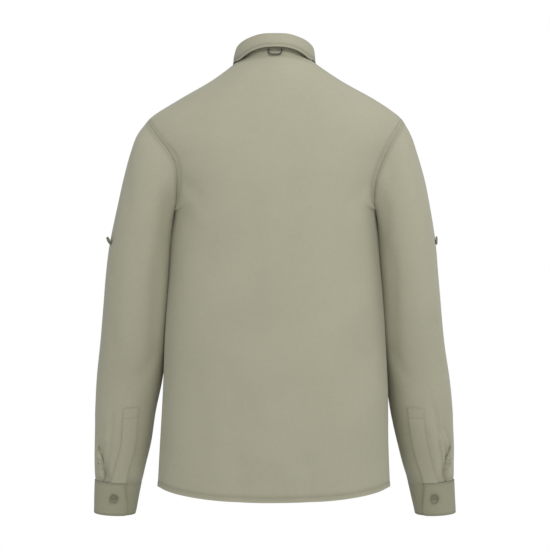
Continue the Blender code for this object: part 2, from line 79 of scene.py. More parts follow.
# %% [markdown]
# ## Light, background and floor
#
# A studio shot on white has one large soft light, here high and to the right of the
# camera, two weaker ones at the sides, and a white room that fills the shadows. The
# background is a white that only the camera sees, and a weaker one lights the cloth, or
# the edges would wash out. The floor is a pale disc well below the hem, so it stays out
# of the picture.

# %% Studio
bpy.context.scene.view_settings.view_transform = "Standard"


def soft_light(name, place, aim, size, power):
    """A square lamp at a place, turned to face a point."""
    deselect()
    bpy.ops.object.light_add(type="AREA", location=place)
    lamp = bpy.context.object
    lamp.name = name
    lamp.data.size = size
    lamp.data.energy = power
    lamp.rotation_euler = (Vector(aim) - Vector(place)).to_track_quat("-Z", "Y").to_euler()
    return lamp


soft_light("key_light", (0.8, -2.1, 1.55), (0, 0, -0.2), 1.5, 40)
soft_light("fill_light", (-2.0, -2.2, 0.5), (0, 0, -0.3), 2.0, 13)
soft_light("edge_light", (2.3, -0.2, 0.6), (0.2, 0, -0.3), 1.2, 9)

world = bpy.data.worlds.new("white_room")
bpy.context.scene.world = world
world.use_nodes = True
room = world.node_tree
room.nodes.clear()
seen = room.nodes.new("ShaderNodeBackground")
seen.inputs["Color"].default_value = (1, 1, 1, 1)
lighting = room.nodes.new("ShaderNodeBackground")
lighting.inputs["Color"].default_value = (0.95, 0.97, 1.0, 1)
lighting.inputs["Strength"].default_value = 0.56
path = room.nodes.new("ShaderNodeLightPath")
either = room.nodes.new("ShaderNodeMixShader")
out = room.nodes.new("ShaderNodeOutputWorld")
room.links.new(path.outputs["Is Camera Ray"], either.inputs[0])
room.links.new(lighting.outputs[0], either.inputs[1])
room.links.new(seen.outputs[0], either.inputs[2])
room.links.new(either.outputs[0], out.inputs[0])


def linear(value):
    """A colour channel of 0 to 255 as Blender's linear value."""
    value /= 255
    return value / 12.92 if value <= 0.04045 else ((value + 0.055) / 1.055) ** 2.4


def colour(red, green, blue):
    return (linear(red), linear(green), linear(blue), 1)


deselect()
bpy.ops.mesh.primitive_cylinder_add(vertices=96, radius=2.5, depth=0.02, location=(0, 0, -1.5))
floor = bpy.context.object
floor.name = "floor"
floor_paint = bpy.data.materials.new("floor_paint")
floor_paint.use_nodes = True
matt = floor_paint.node_tree.nodes["Principled BSDF"]
matt.inputs["Base Color"].default_value = colour(222, 222, 220)
matt.inputs["Roughness"].default_value = 0.9
floor.data.materials.append(floor_paint)
print("three lamps and a floor 1.5 m below the neck")

# %% [markdown]
# ## Node groups that the finishes share
#
# Up close the cloth is a plain weave of fine thread: each thread goes over one and under
# the next. The same group of nodes gives that pattern to every finish that needs it, from
# the UV map, which is in metres on the cloth. A second group gives the slow change of tone
# that dyed cloth has, from the place on the object.

# %% Weave and tone
def maths(tree, operation, first, second=None):
    """A Math node fed by numbers or sockets."""
    node = tree.nodes.new("ShaderNodeMath")
    node.operation = operation
    for socket, value in zip(node.inputs, (first, second)):
        if isinstance(value, (int, float)):
            socket.default_value = value
        elif value is not None:
            tree.links.new(value, socket)
    return node.outputs[0]


def blend_colours(tree, factor, first, second):
    """A Mix node for two colours, each a value or a socket."""
    node = tree.nodes.new("ShaderNodeMix")
    node.data_type = "RGBA"
    tree.links.new(factor, node.inputs[0])
    for socket, value in ((node.inputs[6], first), (node.inputs[7], second)):
        if isinstance(value, tuple):
            socket.default_value = value
        else:
            tree.links.new(value, socket)
    return node.outputs[2]


def new_group(name, inputs, outputs):
    """An empty shader node group with named sockets."""
    group = bpy.data.node_groups.new(name, "ShaderNodeTree")
    for label, kind, value in inputs:
        socket = group.interface.new_socket(label, in_out="INPUT", socket_type="NodeSocket" + kind)
        if value is not None:
            socket.default_value = value
    for label, kind in outputs:
        group.interface.new_socket(label, in_out="OUTPUT", socket_type="NodeSocket" + kind)
    return group, group.nodes.new("NodeGroupInput"), group.nodes.new("NodeGroupOutput")


weave, given, result = new_group(
    "plain_weave", [("Vector", "Vector", None), ("Pitch", "Float", 0.0005)], [("Height", "Float")]
)
split = weave.nodes.new("ShaderNodeSeparateXYZ")
weave.links.new(given.outputs["Vector"], split.inputs[0])
waves = []
for axis in (0, 1):
    turns = maths(weave, "DIVIDE", split.outputs[axis], given.outputs["Pitch"])
    waves.append(maths(weave, "SINE", maths(weave, "MULTIPLY", turns, math.pi)))
warp, weft = [maths(weave, "ABSOLUTE", wave) for wave in waves]
over = maths(weave, "GREATER_THAN", maths(weave, "MULTIPLY", *waves), 0.0)
under = maths(weave, "SUBTRACT", 1.0, over)
tops = [maths(weave, "MULTIPLY", *pair) for pair in ((warp, over), (weft, under))]
thread_top = maths(weave, "ADD", *tops)
weave.links.new(thread_top, result.inputs["Height"])

tone, given, result = new_group(
    "dyed_tone",
    [("Vector", "Vector", None), ("Broad", "Float", 9.0), ("Fine", "Float", 160.0)],
    [("Broad tone", "Float"), ("Fine tone", "Float")],
)
for size, label in (("Broad", "Broad tone"), ("Fine", "Fine tone")):
    noise = tone.nodes.new("ShaderNodeTexNoise")
    noise.inputs["Detail"].default_value = 3.0
    tone.links.new(given.outputs["Vector"], noise.inputs["Vector"])
    tone.links.new(given.outputs[size], noise.inputs["Scale"])
    tone.links.new(noise.outputs["Fac"], result.inputs[label])
print("node groups", weave.name, "and", tone.name)

# %% [markdown]
# ## The finishes
#
# The cloth is a fine matt sage green nylon with a faint sheen where it turns away. The
# loop is a darker braided cord, the buttons are a dull plastic, and the thread is a shade
# deeper than the cloth. The cuffs take a darker copy of the cloth, which is painted shade,
# and along seams and stitch lines the cloth is darkened too, as painted shade.

# %% Materials
def cloth_finish(name, light, dark, pitch, relief, sheen):
    """Woven cloth: its tone drifts between two colours, its threads stand up a little, and along seams it is
    darkened as painted shade.
    """
    made = bpy.data.materials.new(name)
    made.use_nodes = True
    tree = made.node_tree
    shader = tree.nodes["Principled BSDF"]
    place = tree.nodes.new("ShaderNodeTexCoord")
    threads = tree.nodes.new("ShaderNodeGroup")
    threads.node_tree = weave
    threads.inputs["Pitch"].default_value = pitch
    tree.links.new(place.outputs["UV"], threads.inputs["Vector"])
    drift = tree.nodes.new("ShaderNodeGroup")
    drift.node_tree = tone
    tree.links.new(place.outputs["Object"], drift.inputs["Vector"])
    pucker_and_painted_shade = tree.nodes.new("ShaderNodeAttribute")
    pucker_and_painted_shade.attribute_name = "pucker_and_painted_shade"

    shift = maths(tree, "MULTIPLY", drift.outputs["Fine tone"], 0.35)
    amount = maths(tree, "MULTIPLY", drift.outputs["Broad tone"], 0.65)
    amount = maths(tree, "ADD", amount, shift)
    base = blend_colours(tree, amount, dark, light)
    # Painted shade: where the attribute is high, along seams and stitch lines, the colour darkens toward a
    # deeper tone.
    painted_shade_colour = tuple(0.55 * channel for channel in dark[:3]) + (1,)
    base = blend_colours(tree, maths(tree, "MULTIPLY", pucker_and_painted_shade.outputs["Fac"], 0.6), base, painted_shade_colour)
    tree.links.new(base, shader.inputs["Base Color"])
    rough = maths(tree, "ADD", 0.74, maths(tree, "MULTIPLY", threads.outputs["Height"], 0.12))
    tree.links.new(rough, shader.inputs["Roughness"])
    shader.inputs["Specular IOR Level"].default_value = 0.3
    shader.inputs["Sheen Weight"].default_value = sheen
    shader.inputs["Sheen Roughness"].default_value = 0.45

    gathered = maths(tree, "MULTIPLY", drift.outputs["Fine tone"], pucker_and_painted_shade.outputs["Fac"])
    height = maths(tree, "ADD", threads.outputs["Height"], maths(tree, "MULTIPLY", gathered, 6.0))
    height = maths(tree, "ADD", height, maths(tree, "MULTIPLY", drift.outputs["Fine tone"], 1.2))
    bump = tree.nodes.new("ShaderNodeBump")
    bump.inputs["Strength"].default_value = 0.6
    bump.inputs["Distance"].default_value = relief
    tree.links.new(height, bump.inputs["Height"])
    tree.links.new(bump.outputs["Normal"], shader.inputs["Normal"])
    return made


def plastic_finish(name, light, dark):
    """Moulded plastic with faint clouds in it and a satin face."""
    made = bpy.data.materials.new(name)
    made.use_nodes = True
    tree = made.node_tree
    shader = tree.nodes["Principled BSDF"]
    place = tree.nodes.new("ShaderNodeTexCoord")
    drift = tree.nodes.new("ShaderNodeGroup")
    drift.node_tree = tone
    drift.inputs["Broad"].default_value = 140.0
    drift.inputs["Fine"].default_value = 900.0
    tree.links.new(place.outputs["Object"], drift.inputs["Vector"])
    tree.links.new(blend_colours(tree, drift.outputs["Broad tone"], dark, light), shader.inputs["Base Color"])
    rough = maths(tree, "ADD", 0.3, maths(tree, "MULTIPLY", drift.outputs["Fine tone"], 0.25))
    tree.links.new(rough, shader.inputs["Roughness"])
    bump = tree.nodes.new("ShaderNodeBump")
    bump.inputs["Strength"].default_value = 0.15
    bump.inputs["Distance"].default_value = 0.0002
    tree.links.new(drift.outputs["Fine tone"], bump.inputs["Height"])
    tree.links.new(bump.outputs["Normal"], shader.inputs["Normal"])
    return made


sage = cloth_finish("sage_cloth", colour(176, 173, 150), colour(158, 155, 133), 0.00045, 0.00006, 0.18)
thread = cloth_finish("sewing_thread", colour(160, 157, 134), colour(140, 138, 115), 0.0003, 0.00005, 0.1)
# Painted shade: a darker copy of the cloth, for the cuffs.
shaded_cuff_finish = cloth_finish("sage_shaded_cuff", colour(158, 156, 132), colour(144, 142, 119), 0.00045, 0.00006, 0.1)
cord = cloth_finish("loop_cord", colour(84, 92, 84), colour(58, 64, 58), 0.0008, 0.0002, 0.1)
plastic = plastic_finish("button_plastic", colour(128, 128, 106), colour(100, 101, 82))
print("finishes", [m.name for m in (sage, shaded_cuff_finish, thread, cord, plastic)])

# %% [markdown]
# ## The cut of the body
#
# The body is measured as a dressmaker would: how wide and how deep it is at each height,
# how far the armhole seam stands from the centre line, and the ring of the neck seam.
# A smooth curve through a few rows of sizes gives every place between them.

# %% Sizes of the body
SEAM = 0.0005  # between pieces that are sewn edge to edge
GAP = 0.0004  # between pieces that lie on each other
TIP_CLEAR = 0.0005  # added to the seam at the shoulder tip
NECK_HALF_WIDTH = 0.0625
NECK_BACK = 0.064
NECK_FRONT = 0.068
NECK_SIDE_Z = 0.004
NECK_BACK_Z = 0.0127
NECK_FRONT_Z = -0.040
TIP_Z = -0.096
UNDERARM_Z = -0.250
HEM_SIDE_Z = -0.713
HEM_CENTRE_Z = -0.724
CENTRE_SAG = dict(back=0.004, front=0.010)  # how far the tip's row drops at the centre
NECK_ROWS = 5
ARMHOLE_ROWS = 10
SIDE_ROWS = 9
LAST_ROW = NECK_ROWS + ARMHOLE_ROWS + SIDE_ROWS


def table(names, *rows):
    """A table with named columns and a row for each section."""
    return [dict(zip(names.split(), row)) for row in rows]


# Level sections of the body. Square is 2 for an oval and more for a boxier shape.
BODY = table(
    "z       half_width left_extra back    front   square",
    (0.004, 0.0625, 0.0, 0.0640, 0.0520, 2.0),
    (-0.030, 0.1135, -0.0050, 0.0820, 0.0640, 2.0),
    (-0.062, 0.1700, -0.0060, 0.0945, 0.0800, 2.0),
    (-0.096, 0.2160, -0.0015, 0.1045, 0.0970, 2.0),
    (-0.130, 0.2280, 0.0, 0.1110, 0.1100, 2.05),
    (-0.175, 0.2070, 0.0, 0.1165, 0.1190, 2.15),
    (-0.215, 0.1835, 0.0, 0.1195, 0.1235, 2.3),
    (-0.250, 0.1725, 0.0, 0.1210, 0.1250, 2.4),
    (-0.300, 0.1733, 0.0, 0.1220, 0.1260, 2.45),
    (-0.400, 0.1790, 0.0, 0.1240, 0.1270, 2.42),
    (-0.543, 0.1865, 0.0, 0.1265, 0.1280, 2.4),
    (-0.640, 0.1888, 0.0015, 0.1280, 0.1290, 2.4),
    (-0.724, 0.1910, 0.0040, 0.1290, 0.1300, 2.4),
)

# Distance of the armhole seam from the centre line, at each height
ARMHOLE = table(
    "z       back_left back_right front",
    (-0.096, 0.2140, 0.2155, 0.2145),
    (-0.112, 0.2060, 0.2080, 0.2040),
    (-0.130, 0.1930, 0.1975, 0.1890),
    (-0.150, 0.1770, 0.1865, 0.1710),
    (-0.175, 0.1640, 0.1755, 0.1590),
    (-0.200, 0.1610, 0.1670, 0.1580),
    (-0.225, 0.1625, 0.1645, 0.1605),
    (-0.242, 0.1665, 0.1670, 0.1660),
    (-0.250, 0.1725, 0.1725, 0.1725),
)


def curve(rows, key, at):
    """The table's columns at values of one of them, on smooth curves through the rows."""
    data = {name: np.array([row[name] for row in rows], float) for name in rows[0]}
    turn = 1 if data[key][-1] > data[key][0] else -1
    keys = data[key] * turn
    at = np.clip(np.asarray(at, float) * turn, keys[0], keys[-1])
    i = np.clip(np.searchsorted(keys, at) - 1, 0, len(keys) - 2)
    width = np.diff(keys)
    f, h = (at - keys[i]) / width[i], width[i]
    found = {}
    for name, values in data.items():
        slope = np.diff(values) / width
        inner = (slope[:-1] * width[1:] + slope[1:] * width[:-1]) / (width[1:] + width[:-1])
        tangent = np.concatenate([slope[:1], inner, slope[-1:]])
        found[name] = (
            (2 * f**3 - 3 * f**2 + 1) * values[i]
            + (f**3 - 2 * f**2 + f) * h * tangent[i]
            + (3 * f**2 - 2 * f**3) * values[i + 1]
            + (f**3 - f**2) * h * tangent[i + 1]
        )
    return found


def ease(f):
    """0 to 1 with a soft start and end."""
    f = np.clip(f, 0.0, 1.0)
    return f * f * (3 - 2 * f)


def stack(x, y, z):
    """Points from their three coordinates."""
    return np.stack(np.broadcast_arrays(x, y, z), -1)


print("body sections:", len(BODY), " armhole sections:", len(ARMHOLE))

# %% Surfaces of the body
def oval(angle, square):
    """Cosine and sine on an oval, or on a boxier oval."""
    c, s = np.cos(angle), np.sin(angle)
    power = 2 / square
    return np.copysign(np.abs(c) ** power, c), np.copysign(np.abs(s) ** power, s)


def neck_ring(angle):
    """The neck seam at an angle from the centre back, positive toward +X."""
    c, s = np.cos(angle), np.sin(angle)
    depth = np.where(c > 0, NECK_BACK, NECK_FRONT)
    drop = np.where(c > 0, NECK_BACK_Z, NECK_FRONT_Z) - NECK_SIDE_Z
    return stack(NECK_HALF_WIDTH * s, -depth * c, NECK_SIDE_Z + drop * c * c)


def half_width(side, row):
    return row["half_width"] + np.where(np.asarray(side) < 0, row["left_extra"], 0.0)


def body_surface(side, face, angle, z):
    """The body at an angle from its side line. Face is "back" or "front"."""
    row = curve(BODY, "z", z)
    c, s = oval(angle, row["square"])
    away = -1 if face == "back" else 1
    return stack(side * half_width(side, row) * c, away * row[face] * s, z)


def angle_at(side, x, z):
    """The angle at which the body is x from the centre line."""
    row = curve(BODY, "z", z)
    share = np.clip(x / half_width(side, row), -1.0, 1.0)
    return np.arccos(np.copysign(np.abs(share) ** (row["square"] / 2), share))


def seam_x(side, face, z):
    """How far the armhole seam is from the centre line."""
    row = curve(ARMHOLE, "z", z)
    if face == "front":
        return row["front"]
    return np.where(np.asarray(side) < 0, row["back_left"], row["back_right"])


def row_height(face, v):
    """The height of a row, whole or not, at its side edge and at the centre line."""
    centre_neck = NECK_BACK_Z if face == "back" else NECK_FRONT_Z
    centre_tip = TIP_Z - CENTRE_SAG[face]
    neck = np.clip(v / NECK_ROWS, 0, 1)
    arm = (1 - np.cos(np.pi * np.clip((v - NECK_ROWS) / ARMHOLE_ROWS, 0, 1))) / 2
    low = np.clip((v - NECK_ROWS - ARMHOLE_ROWS) / SIDE_ROWS, 0, 1)
    side = NECK_SIDE_Z + neck * (TIP_Z - NECK_SIDE_Z) + arm * (UNDERARM_Z - TIP_Z)
    centre = centre_neck + neck * (centre_tip - centre_neck) + arm * (UNDERARM_Z - centre_tip)
    return side + low * (HEM_SIDE_Z - UNDERARM_Z), centre + low * (HEM_CENTRE_Z - UNDERARM_Z)


def panel_surface(side, face, v, share, end_x=0.0):
    """A panel from its side edge (share 0) to end_x from the centre line, row by row."""
    v, share = np.broadcast_arrays(np.asarray(v, float), np.asarray(share, float))
    side_z, centre_z = row_height(face, v)
    in_armhole = (v > NECK_ROWS) & (v < NECK_ROWS + ARMHOLE_ROWS)
    start = np.where(in_armhole, angle_at(side, seam_x(side, face, side_z), side_z), 0.0)
    angle = start + share * (angle_at(side, end_x, centre_z) - start)
    across = np.minimum(1.0, (angle - start) / (np.pi / 2 - start))
    z = side_z + (centre_z - side_z) * np.sin(across * np.pi / 2) ** 2
    body = body_surface(side, face, angle, z)
    turn = share * np.arccos(np.clip(end_x / NECK_HALF_WIDTH, -1.0, 1.0))
    ring = neck_ring(side * (np.pi / 2 + (turn if face == "front" else -turn)))
    near_neck = np.clip(1 - v, 0, 1)[..., None]
    return body * (1 - near_neck) + ring * near_neck


print("hem, centre back:", panel_surface(1, "back", LAST_ROW, 1.0).round(4))

# %% [markdown]
# ## How a piece of cloth is made here
#
# Each piece starts as a flat grid, because cloth is flat before it is sewn. The grid's
# points are then laid on the surface that the sizes describe, pushed in and out a little
# by seams and creases, and Solidify gives the sheet its thickness on the inner side.
# A closed tube is the same sheet with its two long edges merged.

# %% Helpers for sheets of cloth
sheets = {}
CLOTH = 0.0009

# How far the lines of stitches are from the edges
FELL_FIRST = 0.0018
FELL_SECOND = 0.0085
HEM_STITCH = 0.0078
NECK_STITCH = 0.008
BAND_STITCH = 0.0045
PLACKET_STITCH = 0.0015
BOX_STITCH = 0.018
CUFF_STITCH = 0.0022
STAND_STITCH = 0.0025
FALL_STITCH = 0.005


def choose(piece):
    """Only this piece is selected and active."""
    deselect()
    piece.select_set(True)
    bpy.context.view_layer.objects.active = piece


def walked(points, axis):
    """The distance walked on a grid, along its columns (axis 0) or its rows (axis 1)."""
    steps = np.linalg.norm(np.diff(points, axis=axis), axis=-1)
    zero = np.zeros_like(np.take(steps, [0], axis))
    return np.concatenate([zero, np.cumsum(steps, axis)], axis)


def spaced(*runs):
    """Values from runs of (start, end, count), each of which starts where the last one ends."""
    parts = [np.linspace(*run) for run in runs]
    return np.concatenate([part[:-1] for part in parts[:-1]] + parts[-1:])


def read_at(at, gone, values):
    """Points or directions of a line, read at distances along it."""
    return np.stack([np.interp(at, gone, values[:, k]) for k in range(3)], -1)


def outward(points, inside, ring=False):
    """The normals of a grid of points, away from a point inside."""
    grid = points
    if ring:
        grid = np.concatenate([points[:, -2:-1], points, points[:, 1:2]], 1)
    across, down = np.gradient(grid, axis=1), np.gradient(grid, axis=0)
    normals = np.cross(across, down)
    normals /= np.maximum(np.linalg.norm(normals, axis=-1, keepdims=True), 1e-12)
    if ring:
        normals = normals[:, 1:-1]
    turn = 1 if np.sum(normals * (points - np.array(inside))) > 0 else -1
    return normals * turn


def apply(piece, kind, **settings):
    """Adds a modifier with its settings and applies it."""
    choose(piece)
    added = piece.modifiers.new(kind.lower(), kind)
    for name, value in settings.items():
        setattr(added, name, value)
    bpy.ops.object.modifier_apply(modifier=added.name)


def edit(piece, operator, **settings):
    """Runs one edit-mode operator on what is selected."""
    choose(piece)
    bpy.ops.object.mode_set(mode="EDIT")
    operator(**settings)
    bpy.ops.object.mode_set(mode="OBJECT")


def keep_sheet(name, points, inside, ring=False):
    """Remembers a sheet, for what lies on it and is sewn through it, and gives its distances."""
    across, down = walked(points, 1), walked(points, 0)
    sheets[name] = dict(points=points, normals=outward(points, inside, ring), across=across, down=down)
    return across, down


def lay_cloth(name, points, inside, thickness=CLOTH, ring=False, rounded=0.0, pucker_and_painted_shade=None, finish=sage):
    """A flat grid laid on a grid of points and thickened inwards. Its UV map is in metres. Its pucker values
    become an attribute that gives pucker relief and painted shade.
    """
    rows, columns = points.shape[:2]
    deselect()
    bpy.ops.mesh.primitive_grid_add(x_subdivisions=columns - 1, y_subdivisions=rows - 1, size=2)
    piece = bpy.context.object
    piece.name = piece.data.name = name
    mesh = piece.data
    flat = np.empty(len(mesh.vertices) * 3, np.float32)
    mesh.vertices.foreach_get("co", flat)
    flat = flat.reshape(-1, 3)
    c = np.rint((flat[:, 0] + 1) / 2 * (columns - 1)).astype(int)
    r = np.rint((flat[:, 1] + 1) / 2 * (rows - 1)).astype(int)
    mesh.vertices.foreach_set("co", points[r, c].astype(np.float32).ravel())
    across, down = keep_sheet(name, points, inside, ring)
    corner = np.empty(len(mesh.loops), np.int32)
    mesh.loops.foreach_get("vertex_index", corner)
    uv = np.stack([across, down], -1)[r, c][corner]
    mesh.uv_layers.active.data.foreach_set("uv", uv.astype(np.float32).ravel())
    gathered = np.zeros(points.shape[:2]) if pucker_and_painted_shade is None else pucker_and_painted_shade
    mark = mesh.attributes.new("pucker_and_painted_shade", "FLOAT", "POINT")
    mark.data.foreach_set("value", gathered[r, c].astype(np.float32))
    mesh.update()
    facing = sum((face.center - Vector(inside)).dot(face.normal) * face.area for face in mesh.polygons)
    if facing < 0:
        mesh.flip_normals()
    mesh.materials.append(finish)
    if ring:
        edit(piece, bpy.ops.mesh.select_all, action="SELECT")
        edit(piece, bpy.ops.mesh.remove_doubles, threshold=0.00002)
    apply(piece, "SOLIDIFY", thickness=thickness, offset=-1)
    if rounded:
        apply(piece, "BEVEL", width=rounded, segments=2, limit_method="ANGLE", angle_limit=math.radians(50))
    choose(piece)
    bpy.ops.object.shade_smooth_by_angle(angle=math.radians(55))
    size = [round(float(grid.max()), 3) for grid in (across, down)]
    print(name, len(piece.data.polygons), "faces,", size, "m")


def rolled(distance):
    """Height of cloth beside a seam that it rolls into."""
    return -0.0005 * np.exp(-((distance / 0.0012) ** 2))


def felled(distance):
    """Height of a felled seam: rolled in, thick up to its second stitch line, then a step down."""
    thick = 0.0006 * ease((FELL_SECOND + 0.0012 - distance) / 0.0016)
    sewn = stitched(distance, FELL_SECOND, 0.0004)
    return rolled(distance) + thick + sewn + stitched(distance, FELL_FIRST, 0.0002)


def stitched(distance, place, depth=0.00035, width=0.0009):
    """Height of the groove that a line of stitches presses into the cloth."""
    return -depth * np.exp(-(((distance - place) / width) ** 2))


def near(distance, place, width=0.004):
    """1 beside a line of stitches and 0 away from it."""
    return np.exp(-(((distance - place) / width) ** 2))


def line_on(name, distance, at, axis):
    """A line on a sheet at one distance from an edge: its points and its normals."""
    sheet = sheets[name]
    found = []
    for grid in (sheet["points"], sheet["normals"]):
        rows = np.moveaxis(grid, axis, 0)
        gone = np.moveaxis(distance, axis, 0)
        line = []
        for i in range(rows.shape[1]):
            order = np.argsort(gone[:, i])
            line.append(read_at(at, gone[order, i], rows[order, i]))
        found.append(np.array(line))
    return found


def sew(name, lines, finish, pitch=0.0027, length=0.0019, width=0.00048):
    """Joined stitches along lines: one small bead for each, in copies of a low sphere."""
    places = []
    for points, normals in lines:
        gone = np.concatenate([[0], np.cumsum(np.linalg.norm(np.diff(points, axis=0), axis=1))])
        at = np.arange(pitch / 2, gone[-1], pitch)
        along = np.gradient(points, gone, axis=0)
        places.append(np.stack([read_at(at, gone, grid) for grid in (points, along, normals)], 1))
    places = np.concatenate(places)
    deselect()
    bpy.ops.mesh.primitive_uv_sphere_add(segments=6, ring_count=4, radius=0.5)
    piece = bpy.context.object
    piece.name = piece.data.name = name
    bead = np.array([corner.co for corner in piece.data.vertices])
    apply(piece, "ARRAY", count=len(places), use_relative_offset=False, use_constant_offset=True)
    along = places[:, 1] / np.linalg.norm(places[:, 1], axis=1, keepdims=True)
    up = places[:, 2] - along * np.sum(places[:, 2] * along, 1, keepdims=True)
    up /= np.linalg.norm(up, axis=1, keepdims=True)
    aside = np.cross(along, up)
    x, y, z = bead[:, 0] * length, bead[:, 1] * width, bead[:, 2] * width * 0.8 - bead[:, 0] ** 2 * width
    spots = places[:, 0][:, None] + along[:, None] * x[:, None] + aside[:, None] * y[:, None]
    spots = spots + up[:, None] * (z + 0.3 * width)[:, None]
    piece.data.vertices.foreach_set("co", spots.astype(np.float32).ravel())
    uv = np.empty(len(piece.data.loops) * 2, np.float32)
    piece.data.uv_layers.active.data.foreach_get("uv", uv)
    piece.data.uv_layers.active.data.foreach_set("uv", uv * length)
    piece.data.update()
    piece.data.materials.clear()
    piece.data.materials.append(finish)
    choose(piece)
    bpy.ops.object.shade_smooth()
    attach(piece, "root")
    print(name, len(places), "stitches")


print("helpers ready")

# %% [markdown]
# ## Soft creases
#
# Filled-out cloth is never quite even. A few wide shallow troughs and ridges are listed,
# each from one point to another, with its own width and depth, and they fade out at
# both ends. Negative depths are troughs.

# %% Creases on the body and sleeves
# Places are (across, height) in metres: on the body across is x, seen from behind
BACK_CREASES = table(
    "from_x  from_z  to_x    to_z    width  depth",
    (-0.060, 0.000, -0.165, -0.135, 0.0160, -0.0016),
    (-0.030, -0.010, -0.120, -0.150, 0.0150, 0.0009),
    (0.055, -0.004, 0.150, -0.090, 0.0170, -0.0009),
    (-0.176, -0.146, -0.158, -0.170, 0.0030, -0.0036),
    (-0.163, -0.190, -0.120, -0.235, 0.0100, -0.0012),
    (-0.160, -0.215, -0.105, -0.290, 0.0120, 0.0009),
    (0.162, -0.195, 0.118, -0.250, 0.0100, -0.0011),
    (0.160, -0.230, 0.120, -0.310, 0.0120, 0.0008),
    (-0.034, -0.200, -0.030, -0.430, 0.0180, -0.0013),
    (-0.010, -0.180, -0.004, -0.420, 0.0200, 0.0008),
    (-0.140, -0.480, -0.120, -0.680, 0.0280, -0.0022),
    (-0.105, -0.520, -0.088, -0.700, 0.0220, 0.0014),
    (0.120, -0.470, 0.105, -0.690, 0.0260, -0.0014),
    (0.000, -0.560, 0.002, -0.690, 0.0260, 0.0016),
    (-0.056, -0.640, -0.058, -0.735, 0.0150, -0.0026),
    (0.054, -0.640, 0.056, -0.735, 0.0150, -0.0026),
)
FRONT_CREASES = table(
    "from_x  from_z  to_x    to_z    width  depth",
    (-0.080, -0.060, -0.150, -0.150, 0.0160, -0.0014),
    (0.075, -0.060, 0.150, -0.160, 0.0160, -0.0013),
    (-0.155, -0.200, -0.090, -0.260, 0.0110, -0.0014),
    (0.155, -0.205, 0.085, -0.275, 0.0110, -0.0013),
    (-0.060, -0.300, -0.075, -0.480, 0.0200, -0.0012),
    (0.070, -0.320, 0.082, -0.500, 0.0220, -0.0011),
    (-0.120, -0.500, -0.105, -0.690, 0.0260, -0.0018),
    (0.125, -0.480, 0.110, -0.700, 0.0260, -0.0019),
    (-0.060, -0.620, -0.064, -0.735, 0.0170, -0.0021),
    (0.058, -0.630, 0.066, -0.735, 0.0170, -0.0020),
)


def creases(rows, across, height):
    """The height that a table of creases adds, at places on the cloth."""
    total = np.zeros(across.shape)
    for row in rows:
        start = np.array([row["from_x"], row["from_z"]])
        along = np.array([row["to_x"], row["to_z"]]) - start
        length = np.linalg.norm(along)
        along = along / length
        gone = (across - start[0]) * along[0] + (height - start[1]) * along[1]
        aside = (across - start[0]) * along[1] - (height - start[1]) * along[0]
        share = gone / length
        fade = ease(share / 0.3 + 0.15) * ease((1 - share) / 0.3 + 0.15)
        total += row["depth"] * fade * np.exp(-((aside / row["width"]) ** 2))
    return total


def uneven(across, height, size=0.0005, phase=0.0):
    """A slow unevenness, so that no stretch of cloth is a perfect surface."""
    return size * (
        np.sin(across * 41 + height * 13 + phase)
        + 0.8 * np.sin(across * -23 + height * 37 + 1.7 + phase)
        + 0.5 * np.sin(across * 67 + height * -29 + 0.6 * phase)
    )


print(len(BACK_CREASES), "creases on the back,", len(FRONT_CREASES), "on the fronts")

# %% [markdown]
# ## The back and the fronts
#
# The back is one piece, from side seam to side seam. The fronts meet under a separate
# band that carries the buttons. The grid's rows and columns lie closer together beside
# the seams and the hem, where the cloth is folded and stitched, and wider apart between.

# %% Back and fronts
EDGE_SHARES = spaced((0, 0.055, 14), (0.055, 1, 46))
UNDERARM_ROW = NECK_ROWS + ARMHOLE_ROWS
HEM_ROW = LAST_ROW - 0.45
PANEL_V = spaced(
    (0, 0.42, 11),
    (0.42, NECK_ROWS, 24),
    (NECK_ROWS, UNDERARM_ROW, 44),
    (UNDERARM_ROW, HEM_ROW, 66),
    (HEM_ROW, LAST_ROW, 20),
)
BODY_FULL = 0.004  # how much fuller the body is beside its side seam
MIDDLE = (0, 0, -0.35)


def finish_panel(name, points, side_distance, face, phase):
    """Adds seams, hem and creases to a body panel, and makes it."""
    normals = outward(points, MIDDLE)
    down = walked(points, 0)
    from_hem = down[-1:] - down
    raised = felled(side_distance)
    raised += 0.0005 * ease((HEM_STITCH + 0.001 - from_hem) / 0.002) + stitched(from_hem, HEM_STITCH)
    raised += stitched(down, NECK_STITCH, 0.0003) + 0.0004 * ease((0.0085 - down) / 0.002)
    soft = ease(side_distance / 0.02) * ease(down / 0.015)
    rows = BACK_CREASES if face == "back" else FRONT_CREASES
    raised += soft * creases(rows, points[..., 0], points[..., 2])
    raised += soft * uneven(points[..., 0], points[..., 2], 0.0005, phase)
    raised += BODY_FULL * near(side_distance, 0.022, 0.016) * ease((-0.2 - points[..., 2]) / 0.08)
    # Pucker relief and painted shade along the side seams, the hem and the neck stitching.
    pucker_and_painted_shade = near(side_distance, FELL_SECOND) + near(from_hem, HEM_STITCH) + near(down, NECK_STITCH)
    points = points + normals * raised[..., None]
    lay_cloth(name, points, MIDDLE, pucker_and_painted_shade=np.clip(pucker_and_painted_shade, 0, 1) * 0.5)


side = np.concatenate([-np.ones(len(EDGE_SHARES)), np.ones(len(EDGE_SHARES) - 1)])
share = np.concatenate([EDGE_SHARES, EDGE_SHARES[-2::-1]])
back_points = panel_surface(side, "back", PANEL_V[:, None], share[None, :])
gone = walked(back_points, 1)
finish_panel("back_cloth", back_points, np.minimum(gone, gone[:, -1:] - gone), "back", 0.0)

